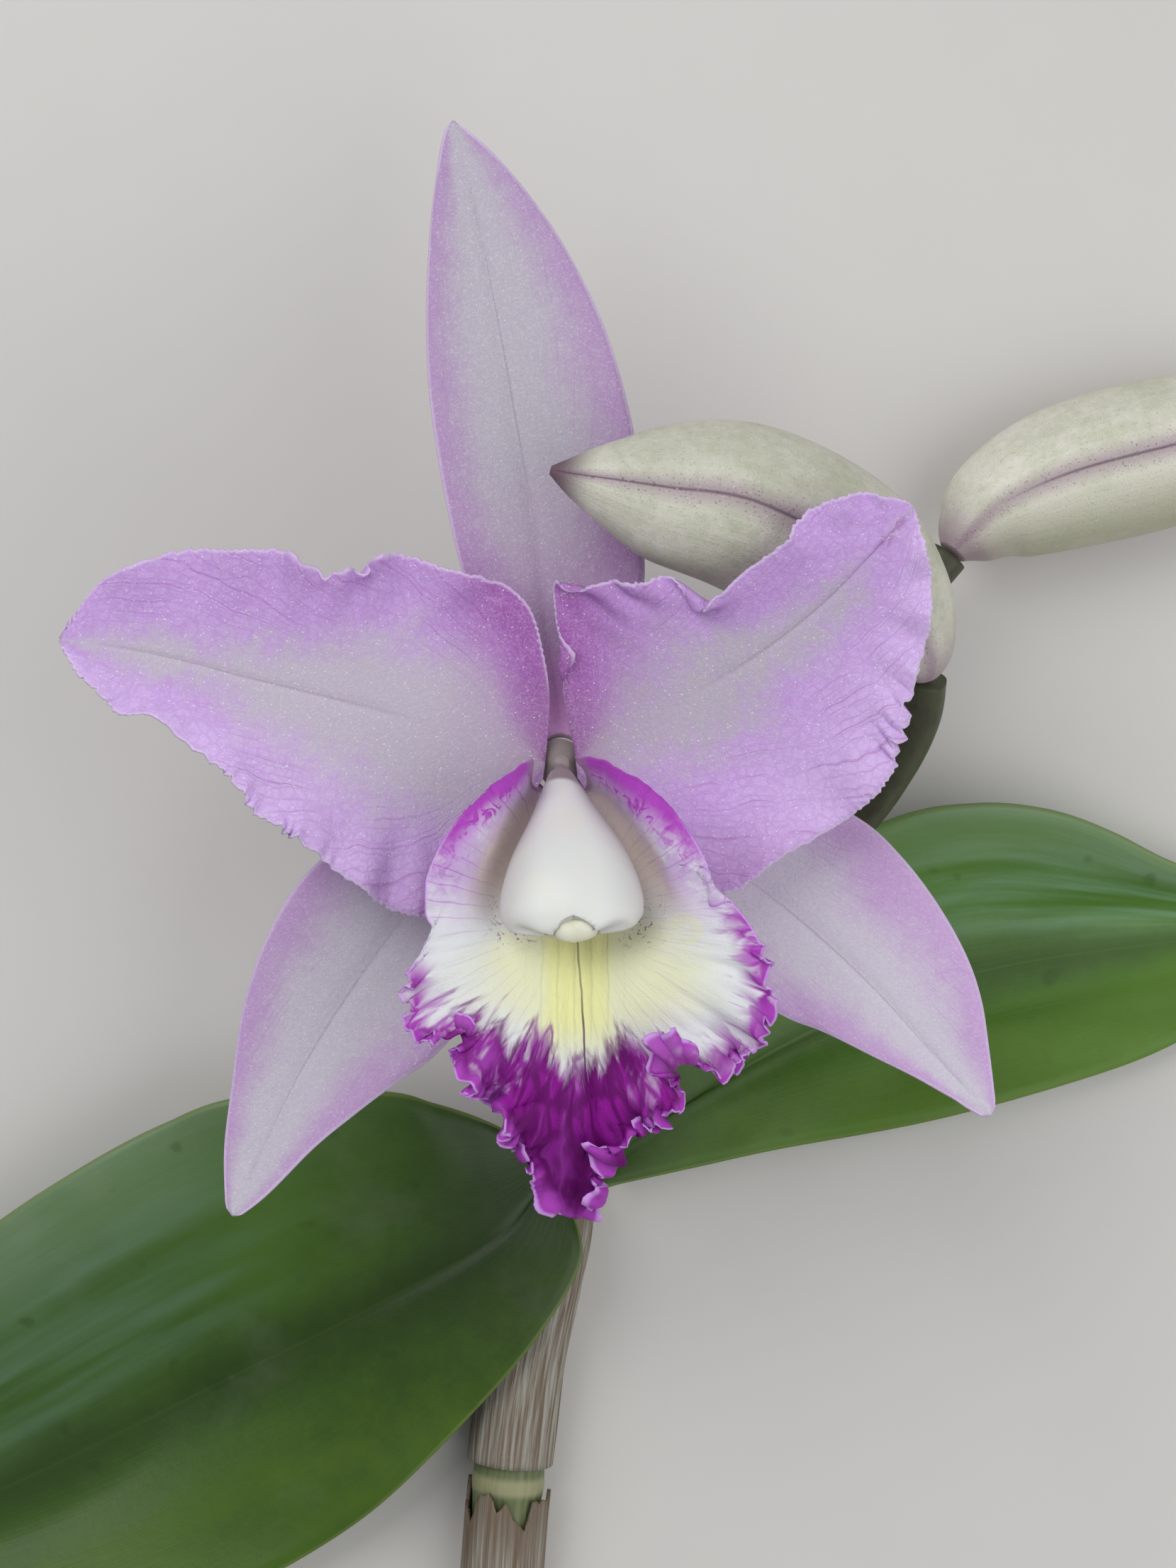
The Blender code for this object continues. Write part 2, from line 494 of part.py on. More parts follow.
def make_sheaths(parts):
    def cane_sheath_radius(share):
        return value(CANE_RADIUS, share) + CANE_JOINT_SWELL + SHEATH_CLEARANCE
    for name, span in (("lower_cane_sheath", LOWER_CANE_SHEATH), ("upper_cane_sheath", UPPER_CANE_SHEATH)):
        sheath(name, CANE_AXIS, cane_sheath_radius, span, CANE_SHEATH_TEAR, parts, SHEATH_LOW)

    def flower_sheath_radius(share):
        first, last = FLOWER_SHEATH_SPAN
        low, high = FLOWER_SHEATH_RADIUS
        return low + (high - low) * (share - first) / (last - first)
    sheath("flower_sheath", PEDUNCLE, flower_sheath_radius, FLOWER_SHEATH_SPAN, FLOWER_SHEATH_TEAR, parts,
           sides=12, split=FLOWER_SHEATH_SPLIT)


def make_cane(parts):
    maker = round_body(CANE_AXIS, cane_section, sides=16, rings=24, flat_ends=True, lowest=CANE_LOW)
    add_material(new_object("cane", maker, parts))


def make_leaves(parts):
    blade("left_leaf", LEFT_LEAF, LEAF_THICK, LEAF_FACES, parts, LEAF_WAVES, LEAF_LOW)
    blade("right_leaf", RIGHT_LEAF, LEAF_THICK, LEAF_FACES, parts, LEAF_WAVES, LEAF_LOW)


def move_to_origin(things):
    shift = Matrix.Translation(Vector((*FLOWER_AT, 0)) * MM)
    for thing in things:
        thing.data.transform(shift)


def main():
    remove_everything()
    scene = bpy.context.scene
    parts = bpy.data.collections.new("cattleya_orchid")
    cutters = bpy.data.collections.new("cutters")
    scene.collection.children.link(parts)
    scene.collection.children.link(cutters)
    make_sepals(parts)
    make_petals(parts)
    make_lip(parts)
    make_column(parts, cutters)
    make_buds(parts)
    make_stalks(parts, cutters)
    make_sheaths(parts)
    make_cane(parts)
    make_leaves(parts)
    move_to_origin([*parts.objects, *cutters.objects])


main()
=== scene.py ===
"""Cattleya orchid: a cut flowering growth lying on its back.

Each piece here is the finer shape and finish of one solid of the loaded part. Lengths in the tables are in
millimetres, with x = y = 0 near the open flower's centre and z = 0 on the surface.
"""

import math
from functools import partial, reduce

import bmesh
import bpy
import numpy as np
from bpy.props import FloatProperty, FloatVectorProperty, PointerProperty
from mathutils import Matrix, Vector


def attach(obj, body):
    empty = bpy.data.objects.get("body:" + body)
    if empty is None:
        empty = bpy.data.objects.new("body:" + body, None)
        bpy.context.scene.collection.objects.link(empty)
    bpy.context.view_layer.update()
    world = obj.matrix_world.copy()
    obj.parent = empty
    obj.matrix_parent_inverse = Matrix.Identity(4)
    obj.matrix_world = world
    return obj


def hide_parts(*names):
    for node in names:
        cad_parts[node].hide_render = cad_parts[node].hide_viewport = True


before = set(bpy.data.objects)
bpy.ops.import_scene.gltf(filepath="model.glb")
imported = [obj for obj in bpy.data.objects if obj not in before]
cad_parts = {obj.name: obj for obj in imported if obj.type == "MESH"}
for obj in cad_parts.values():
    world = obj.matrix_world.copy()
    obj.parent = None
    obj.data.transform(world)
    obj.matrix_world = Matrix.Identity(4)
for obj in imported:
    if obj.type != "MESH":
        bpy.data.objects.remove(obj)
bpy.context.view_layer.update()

bl_info = {
    "name": "Cattleya Orchid",
    "version": (1, 0, 0),
    "blender": (4, 5, 0),
    "location": "View3D > Sidebar > Orchid",
    "description": "Builds the petals, lip, buds, leaves and cane of a cut cattleya growth",
    "category": "Add Mesh",
}

MM = 0.001
# Where the tables' x = y = 0 lies in the part's own frame
FLOWER_AT = (6.65, 44.7)

# Sepals: outer edge, midrib and inner edge, each from the claw to the tip
DORSAL_SEPAL = (
    ((-2.4, 0.6, 54.9), (-5, 6.5, 55), (-8.5, 14, 54.6), (-13, 22, 54.2), (-16, 34.5, 53.7),
     (-18, 47.5, 53), (-18.5, 60.5, 52.3), (-17.8, 73.5, 51), (-16.8, 81.5, 50), (-15.8, 86.3, 49)),
    ((0.3, 1, 54.6), (-1.5, 14, 53.8), (-3, 27.5, 52.8), (-5.5, 41.5, 52), (-8, 55.5, 51.2),
     (-11, 70.5, 50), (-14.9, 86.8, 48.9)),
    ((3, 0.6, 54.9), (5.5, 7.5, 55), (9.5, 15, 54.6), (11.8, 21.5, 54.2), (11.5, 29.5, 53.7),
     (10.5, 42, 53), (7, 55.5, 52.2), (2, 66.5, 51.4), (-3, 74.5, 50.5), (-9, 81.8, 49.8),
     (-14, 86.3, 49)),
)
LEFT_SEPAL = (
    ((-3.4, -3.6, 54.9), (-9, -5, 55.4), (-18.5, -8, 55.5), (-28.5, -13.5, 55), (-35.5, -19.5, 54.5),
     (-40.5, -27.5, 53.5), (-44, -37.5, 52.5), (-45.7, -48.5, 51.5), (-46.8, -57.5, 51),
     (-46.6, -66.2, 51)),
    ((-3.2, -5.6, 54.6), (-10, -12, 53.8), (-18.5, -21, 53.2), (-27.5, -33, 52.2), (-35.5, -45.5, 51.2),
     (-41.5, -57.5, 50.7), (-45.7, -66.8, 50.9)),
    ((-1.4, -7.4, 54.9), (-3, -13, 54.9), (-5.5, -24, 54.3), (-9.5, -34.5, 53.7), (-16.5, -43.5, 53.1),
     (-22.5, -48, 52.7), (-28.5, -52.5, 52.4), (-34.5, -57.5, 52), (-40.5, -63.6, 51.4),
     (-44.8, -67, 51)),
)
RIGHT_SEPAL = (
    ((4, -3.4, 54.9), (11, -3.6, 55.4), (22.5, -4.5, 55.5), (33.5, -7, 55), (42, -11.5, 55),
     (47.5, -16.5, 54.5), (52.5, -23, 54), (56.5, -30, 53.5), (58.8, -36.5, 53), (60, -44, 52.5),
     (61, -51.9, 52)),
    ((3.8, -5.4, 54.6), (11, -9.5, 53.8), (21, -16, 53.2), (32.5, -24.5, 52.6), (43.5, -34.5, 52),
     (52.5, -44.5, 51.8), (60.2, -52.7, 51.9)),
    ((2.2, -7.3, 54.9), (4.5, -13, 54.9), (9.5, -21.5, 54.4), (18, -30, 54), (30, -38, 53.5),
     (36.5, -40.8, 53.2), (43.5, -44.2, 53), (51, -48, 52.6), (55.5, -50.6, 52.2), (59.2, -53, 52)),
)

# Petals: upper edge, midrib and lower edge
LEFT_PETAL = (
    ((-1.7, -2.2, 57.5), (-1.2, 5, 59.2), (-2, 11.3, 61.2), (-4.2, 18, 62.8), (-10, 21.6, 64),
     (-17, 23.2, 65.2), (-23.5, 24.6, 66), (-28, 22.6, 66.8), (-32.5, 22.6, 67.5), (-38, 24.8, 68),
     (-46, 25, 68), (-54, 24, 68), (-61, 21, 67.5), (-66, 14.8, 66.5)),
    ((-1.9, -3.9, 57.3), (-9, -1, 58.2), (-18, 2, 59.6), (-29.5, 5, 61.3), (-42, 8, 63), (-54, 11, 65),
     (-66.9, 13, 66.4)),
    ((-2.1, -5.6, 57.5), (-5.5, -11, 58.6), (-9.5, -17.5, 60.2), (-17, -24.5, 62), (-25, -22, 63.5),
     (-33, -15.5, 65), (-40, -11, 66), (-45.5, -4.5, 66.5), (-52, 1, 67), (-59.5, 3.8, 67),
     (-64.6, 8.6, 66.8), (-66.6, 11.8, 66.5)),
)
RIGHT_PETAL = (
    ((2.3, -2, 57.5), (0.7, 4.8, 59), (-0.2, 11.5, 61.2), (-0.6, 17, 63.2), (-0.4, 21.5, 64.6),
     (4, 21, 66), (9.5, 20.5, 67.5), (14, 21, 69), (18.5, 18, 70.5), (23.5, 20.5, 73), (29, 24.5, 75.8),
     (32, 28.5, 76.8), (38, 31.5, 77.2), (43, 31.2, 77.2), (45.8, 30.6, 76.7)),
    ((2.5, -3.8, 57.3), (8.5, 0, 58.8), (16.5, 5, 62.5), (26, 10.5, 67), (34.5, 17, 71), (41, 23.5, 74.5),
     (46.6, 29.7, 76.5)),
    ((2.6, -5.6, 57.5), (6, -10.5, 58.6), (12, -16.5, 60.2), (22, -21.5, 62), (31, -16, 64),
     (38.5, -11.5, 65.5), (44, -6.5, 67), (46.5, 0, 68.3), (47.8, 7.5, 69.8), (49.5, 15, 71.8),
     (49.2, 22, 74), (47.7, 27, 75.8), (47.1, 28.7, 76.5)),
)

# Lip: free edge, crest and foot of the left side, midline, and the same three on the right. The first
# half of each line is the side lobe beside the column, the second half the frilled front lobe.
LIP = (
    ((-3.2, -3.2, 70), (-4.6, -4, 71.2), (-6.8, -5.3, 72.5), (-10, -8, 74.5), (-12.7, -10.7, 75.8),
     (-15.3, -14.5, 76.6), (-17, -18.5, 77), (-17.4, -23, 76.5), (-17.6, -27.5, 76.3), (-19.6, -31.8, 77),
     (-21, -36, 77), (-18.5, -40.5, 76), (-14.5, -44, 75.5), (-12, -47.5, 74), (-8, -50, 73),
     (-7.5, -53.5, 71.5), (-5, -57.5, 69), (-2.5, -61.5, 66.3), (0.3, -64.6, 63.3)),
    ((-3.6, -4.6, 66), (-6.6, -7.6, 71), (-9.2, -12.2, 74.8), (-12.5, -20.5, 75), (-12.5, -34, 75.5),
     (-7.5, -43, 74.5), (-3, -53, 71.5), (0.9, -64.8, 63.2)),
    ((-3.3, -6.8, 61), (-5, -9.5, 62.5), (-7, -14.5, 65.5), (-8.2, -22.5, 69), (-5, -33, 72.5),
     (-1.5, -43, 73.3), (1, -52.5, 71), (1.5, -65, 63.1)),
    ((0.3, -7.7, 59.3), (0.5, -11, 60.2), (1, -16, 61.8), (2, -24, 65.3), (3, -33, 70), (3.5, -42.5, 72),
     (4, -52, 70), (2.1, -65, 63)),
    ((3.9, -6.8, 61), (7, -9.5, 62.5), (10, -14.5, 65), (13.2, -22, 69), (11.5, -32, 72.5), (10, -42, 73),
     (6, -51.8, 71.3), (2.7, -65, 63.1)),
    ((3.8, -4.4, 66), (8.5, -7.5, 71.3), (12, -12, 74.8), (16, -19.5, 75.5), (20, -30.5, 75.5),
     (16.5, -41.5, 74.5), (8.2, -51.5, 72.3), (3.3, -64.8, 63.2)),
    ((2.3, -2.8, 70), (4.5, -2.9, 71.5), (7.2, -4, 73), (10.5, -5.8, 74.5), (13.5, -8, 75.5),
     (16.5, -11.5, 76.5), (19, -15.5, 77), (20.5, -19, 77), (23, -21.8, 76.8), (26, -26, 76.3),
     (28, -31, 75.8), (28.5, -36, 75.2), (27.5, -40.5, 74.5), (24, -44.5, 74), (20, -47.5, 74),
     (16, -51.2, 73.6), (11.5, -53.6, 72.6), (8.4, -57, 69.5), (7, -61, 66.5), (4.4, -64.3, 63.4)),
)

# Leaves: upper edge, half way, midrib, half way and lower edge, from the cane to the tip
LEFT_LEAF = (
    ((-4.6, -62.2, 11), (-11, -58, 14), (-19, -55, 16), (-27.5, -53, 17), (-49, -54, 16),
     (-61, -58.5, 14.5), (-73.5, -65, 13), (-85.5, -73, 11.5), (-103, -87, 9), (-120, -105, 6.5),
     (-130, -120, 4.5), (-134.4, -131, 2.8)),
    ((-3.6, -64, 12.2), (-12, -66, 14.2), (-23, -68, 14.2), (-38, -73, 11.2), (-56, -82, 7.5),
     (-76, -93, 4.6), (-100, -108, 3), (-121, -122, 2.6), (-135, -132.8, 2.3)),
    ((-2.5, -67, 13), (-10, -75.5, 15), (-28, -86, 12), (-48, -97, 4.5), (-68, -107.5, -1.5),
     (-88, -117, -3), (-112, -127, -1.5), (-135.2, -134.4, 2)),
    ((-0.5, -69.4, 13.4), (-4, -79, 15.3), (-20, -94, 13.2), (-38, -107, 8.4), (-58, -118.5, 4.8),
     (-78, -127, 3.2), (-100, -133.5, 2.8), (-120, -136.5, 2.6), (-134.8, -136, 2.3)),
    ((1.6, -71.4, 13.6), (3, -79, 15.5), (-4, -91, 16), (-16, -105, 14), (-29, -118, 11), (-44, -128, 9),
     (-60, -135.5, 8), (-80, -141, 7), (-100, -143.5, 6), (-118, -142.5, 4), (-133.8, -137.2, 2.5)),
)
RIGHT_LEAF = (
    ((6.3, -61.6, 9.4), (10.5, -51, 11), (18, -37, 13), (32, -21.5, 14), (51, -11.5, 14),
     (63.5, -9.5, 13.5), (74, -10.5, 12.5), (85, -14, 11), (95, -19, 9), (107, -22.6, 6),
     (116, -24.4, 3.8), (121, -25.6, 2.6)),
    ((6.2, -63.4, 8), (15, -52, 8.5), (29, -37, 8.2), (46, -26.5, 6.8), (64, -22, 4.8), (84, -23, 3.6),
     (104, -25.8, 2.4), (121.6, -26.9, 2.3)),
    ((6.3, -65.2, 7), (20, -55.5, 5.8), (38, -45.5, 2.5), (55, -39, -1.5), (72, -34.5, -3),
     (97, -31, -1.5), (121.9, -28.3, 2.2)),
    ((6.4, -67, 7.6), (20, -59.5, 6), (37, -53, 4), (56, -48, 2.8), (74, -43.5, 2.4), (97, -37.6, 2.2),
     (121.6, -29.7, 2.3)),
    ((6.2, -68.8, 9), (11, -67.8, 8), (22.5, -65.5, 6.4), (34.5, -63, 5.6), (59, -58.5, 5),
     (83.5, -51.5, 5), (96, -46.5, 4.6), (108, -39.6, 3.6), (116.5, -34.2, 2.8), (121, -31, 2.6)),
)

# Column: its axis from the ovary to the hood
COLUMN_AXIS = (
    (0.3, -3.8, 59), (0.4, -6, 62), (0.8, -9.6, 65.6), (1.3, -14.3, 69.3), (1.7, -19.2, 72.6),
    (2, -24, 75), (2.1, -26.2, 75.4),
)
# Half width, back and front depth of the column along it
COLUMN_WIDTH = (0, 1.5, 1.8, 2.5, 3.4, 4.3, 5.5, 6.8, 7.9, 8.7, 9.3, 9.5, 9, 7.2, 0)
COLUMN_BACK = (0, 1.5, 1.9, 2.2, 2.5, 2.8, 3.1, 3.4, 3.6, 3.7, 3.7, 3.5, 3, 2.2, 0)
COLUMN_FRONT = (0, 1.3, 1.5, 1.6, 1.6, 1.6, 1.5, 1.5, 1.4, 1.4, 1.3, 1.2, 1.1, 0.9, 0)
# Anther cap: its axis in the part, half width and depth, how far it is set off that axis here, the room
# round it in the column, and where the opening lies through which it is seen
CAP_AXIS = ((2.1, -23.8, 75), (2.2, -25.6, 75.8), (2.3, -27.8, 75.4))
CAP_WIDTH = (0, 2, 2.9, 3.1, 2.4, 0)
CAP_DEPTH = (0, 1.2, 1.7, 1.7, 1.2, 0)
CAP_SHIFT = (0, 0.5, 0)
CAP_ROOM = 0.3
CAP_WINDOW_SHIFT = (0, -0.25, 3)

# Buds: axis from the base to the tip, radius along it, and how many seams each has
FRONT_BUD_AXIS = (
    (51.6, 9.2, 46.8), (50.2, 12.8, 49.5), (46, 18.6, 53), (38.5, 25.3, 57), (25.5, 31.2, 60.8),
    (14, 33, 63.5), (7, 34.2, 65), (2.5, 35, 65.6), (-1, 35.8, 66),
)
FRONT_BUD_RADIUS = (2.3, 5.8, 9.3, 11.4, 11.6, 9.4, 5.9, 3.2, 0.6)
REAR_BUD_AXIS = (
    (59.8, 29, 12.4), (62, 31.6, 11.9), (67, 36, 11.2), (77, 40.5, 10.3), (92, 44.5, 10.2),
    (105, 47.7, 10.3), (113, 49.7, 10.6), (118, 51, 11.2), (121.5, 51.8, 11.6),
)
REAR_BUD_RADIUS = (2.2, 5.4, 8.8, 11.1, 11.5, 9.5, 6.2, 3.3, 0.6)
BUD_SEAMS = 3

# The open flower's stalk ends in a thin neck: its top, its radius and the share of the length where it
# begins, which no stalk without a neck reaches
NECK_TOP = 58.7
NECK_RADIUS = 1.2
NECK_FROM = 0.92
NO_NECK = 2.0

# Stalks: axis and radius of the peduncle and of the three stalks that branch from its end
PEDUNCLE = (
    (0.9, -63.6, 7.6), (1.6, -60, 9.6), (3, -54, 13), (5.5, -46, 18), (8, -38, 22), (8.6, -35.4, 23.2),
)
PEDUNCLE_RADIUS = (2.6, 2.6, 2.7, 2.8, 3, 1.4)
FLOWER_STALK = (
    (8, -38.6, 21.6), (7.2, -30, 26), (4.4, -18.5, 33), (1.6, -9, 41.5), (0.4, -4.4, 49), (0.3, -3.6, 54),
    (0.3, -3.6, NECK_TOP),
)
FLOWER_STALK_RADIUS = (2.2, 2.2, 2.3, 2.6, 3, 3.3, 3.4)
FRONT_STALK = (
    (7.6, -38.2, 21.8), (20, -30, 25), (33, -21, 29), (43, -12.5, 33), (48.5, -4, 38.2), (51.2, 3, 42.4),
    (51.9, 8.4, 46.1),
)
FRONT_STALK_RADIUS = (2.2, 2.2, 2.3, 2.5, 2.8, 3.1, 2.9)
REAR_STALK = (
    (7.8, -38.6, 21.6), (16, -30, 19), (28, -15, 15.4), (41, 3, 13.2), (51, 18, 12.6), (59.3, 28.5, 12.5),
)
REAR_STALK_RADIUS = (2.1, 2.1, 2.2, 2.4, 2.7, 3)

# Cane, cut through at its lower end, with its joints at these shares of its length
CANE_AXIS = (
    (-8, -176, 5.1), (-9.3, -150, 5.4), (-9.3, -128, 5.7), (-6.5, -98, 6), (-1.8, -76, 6.4),
    (0.4, -65.2, 6.8),
)
CANE_RADIUS = (4.2, 4.7, 5.1, 5.4, 5, 3.4)
CANE_JOINTS = (0.2, 0.49, 0.8)
CANE_JOINT_SWELL = 0.35
CANE_JOINT_LENGTH = 0.012
# Thickness of the part's dry sheaths, and room under the cane for them to lie in
PAPER_THICK = 0.6
CANE_LIFT = 0.3

# Papery sheaths round the cane: first and last share of the cane's length, clearance to the cane, and
# how far the torn upper end stands out
LOWER_CANE_SHEATH = (0.04, 0.47)
UPPER_CANE_SHEATH = (0.51, 0.86)
SHEATH_CLEARANCE = 0.7
CANE_SHEATH_TEAR = 0.2

# Dry flower sheath round the foot of the peduncle, with the angle of the slit along its upper side
FLOWER_SHEATH_SPAN = (0.1, 0.5)
FLOWER_SHEATH_RADIUS = (3.4, 4)
FLOWER_SHEATH_TEAR = 0.5
FLOWER_SHEATH_SPLIT = 0.5

# Broad ruffles along a blade's edges, like those of the part's solids: how many on each side, their height,
# the share of the half width where they begin, the shares of the length between which they run, and a shift
LEFT_PETAL_WAVES = {"count": 9, "height": 2.2, "inner": 0.45, "start": 0.18, "end": 0.97, "seed": 1.3}
RIGHT_PETAL_WAVES = {"count": 9, "height": 2, "inner": 0.45, "start": 0.2, "end": 0.97, "seed": 4.1}
LIP_WAVES = {"count": 11, "height": 2.3, "inner": 0.45, "start": 0.5, "end": 0.95, "seed": 2.2}
LEAF_WAVES = {"count": 2, "height": 0.5, "inner": 0.4, "start": 0.2, "end": 0.9, "seed": 0.7}

# Single folds and clefts of a frilled edge: side (-1 first edge, 1 last edge), share of the length, half
# width along the edge, rise, pull towards the middle and pinch that makes the neck narrower than the crest
LIP_FOLDS = (
    (-1, 0.42, 1.4, 0.4, 1.2, 0), (-1, 0.55, 1.6, 1, 1.6, 0.4),
    (-1, 0.7, 1.4, 1, 1.2, 0.3), (-1, 0.795, 1.7, 2, 2.4, 0.5),
    (-1, 0.885, 1.8, 2, 2.6, 0.5),
    (1, 0.4, 1, 1, 2.4, 0.3), (1, 0.605, 1.5, 1.4, 1.6, 0.4), (1, 0.66, 1.4, 1.2, 1.8, 0.4),
    (1, 0.79, 1.5, 1.4, 2, 0.4), (1, 0.835, 1.7, 2, 3, 0.4),
    (1, 0.885, 2.6, 3, 5.2, 0.3), (1, 0.955, 2.2, 2.4, 3, 0.4),
    (-1, 0.955, 1.6, 2, -1.6, 0.4), (1, 0.99, 1.4, 1.6, -1.4, 0.3),
)
LIP_CLEFTS = ((-1, 0.64, 1.5, 3.2, 7, 0.6), (1, 0.737, 1.7, 4.8, 11.5, 0.9))
LEFT_PETAL_FOLDS = (
    (-1, 0.66, 1.6, 0.8, -0.9, 0.1), (-1, 0.592, 0.8, 0.9, 1.2, 0.2), (-1, 0.545, 0.7, 0.6, -0.7, 0.2),
    (-1, 0.512, 0.9, 1.8, 1.5, 0.4), (-1, 0.47, 1.6, 1, -0.8, 0.2), (1, 0.52, 1.6, 0.9, 0.5, 0.2),
)
RIGHT_PETAL_FOLDS = (
    (-1, 0.14, 2.6, 1.6, 2.4, 0.1), (-1, 0.33, 2.2, 1.8, 1.6, 0.3), (-1, 0.42, 1.8, 1.4, -0.8, 0.3),
    (-1, 0.56, 1.6, 1.8, 1.6, 0.3), (1, 0.56, 1.2, 1, 1.1, 0.3), (1, 0.625, 1, 0.8, 1, 0.3),
)

# Scallops on the petals' lower edges: length, share of the frill's height, depth, the shares of the petal's
# length between which they run, and how far they lean
LEFT_SCALLOPS = (2.1, 0.9, 3, 0.38, 0.7, 0.45)
RIGHT_SCALLOPS = (2.9, 1.3, 6, 0.5, 0.68, 0.9)

# Where the lip's streaks start from, the x of its keels' middle, and the distance from keel to keel
LIP_THROAT = (2.4, -25.0)
LIP_MIDDLE = 2.6
KEEL_STEP = 2.15

# Colours that more than one finish takes, and how many of its tiny cells a petal's skin has in a metre
STALK_TOP_COLOUR = (0.32, 0.26, 0.26)
PETAL_CELLS = 5200.0

# Stage, in metres: half the floor's width, the camera, and each light's size, place and target
FLOOR_HALF = 3.0
CAMERA_AT = ((FLOWER_AT[0] + 4.05) * MM, (FLOWER_AT[1] - 6.44) * MM, 0.457)
LIGHTS = (
    ("key_light", 0.5, (-0.26, 0.32, 0.52), (0.0, 0.03, 0.05)),
    ("fill_light", 0.7, (0.42, -0.12, 0.5), (0.02, 0.0, 0.03)),
)


WHOLE_TURN = 2 * math.pi


def smooth(share):
    """0 up to a share of 0 and 1 from 1 on, with a soft rise between."""
    share = np.clip(share, 0.0, 1.0)
    return share * share * (3 - 2 * share)


def between(place, start, end, climb, drop):
    """1 from start to end, with a soft climb after the start and a soft drop before the end."""
    return smooth((place - start) / climb) * smooth((end - place) / drop)


def hump(place, width):
    """1 at 0, falling off softly on both sides."""
    return np.exp(-((place / width) ** 2))


def line_weights(count, shares):
    """How much each of count evenly spaced points adds at each share of the way along a smooth line."""
    shares = np.atleast_1d(np.asarray(shares, float))
    spans = count - 1
    place = np.clip(shares, 0, 1) * spans
    first = np.minimum(place.astype(int), spans - 1)
    t = place - first
    table = np.zeros((len(shares), count))
    rows = np.arange(len(shares))
    for step, weight in (
        (-1, (2 * t**2 - t - t**3) / 2),
        (0, (2 - 5 * t**2 + 3 * t**3) / 2),
        (1, (t + 4 * t**2 - 3 * t**3) / 2),
        (2, (t**3 - t**2) / 2),
    ):
        np.add.at(table, (rows, np.clip(first + step, 0, spans)), weight)
    return table


def along(points, shares):
    """Points of a smooth line at shares of its length."""
    points = np.asarray(points, float)
    return line_weights(len(points), shares) @ points


def size_along(sizes, shares):
    """Sizes from a table at shares of a body's length."""
    return along(np.array(sizes, float)[:, None], shares)[:, 0]


def unit(vectors):
    """The same directions with length 1."""
    return vectors / np.maximum(np.linalg.norm(vectors, axis=-1, keepdims=True), 1e-9)


def set_places(bm, points):
    """Puts a mesh's points at places given in the tables' millimetres."""
    for vert, place in zip(bm.verts, (points.reshape(-1, 3) + np.array([*FLOWER_AT, 0])) * MM):
        vert.co = place


def grid_mesh(size, points, maps):
    """Grid of faces with its points at the given places, and maps that are pairs of values at the points."""
    bm = bmesh.new()
    layers = {name: bm.loops.layers.uv.new(name) for name in maps}
    bmesh.ops.create_grid(bm, x_segments=size[0], y_segments=size[1], size=1)
    set_places(bm, points)
    for name, layer in layers.items():
        first, second = (np.ravel(values) for values in maps[name])
        for face in bm.faces:
            for corner in face.loops:
                corner[layer].uv = (first[corner.vert.index], second[corner.vert.index])
    return bm


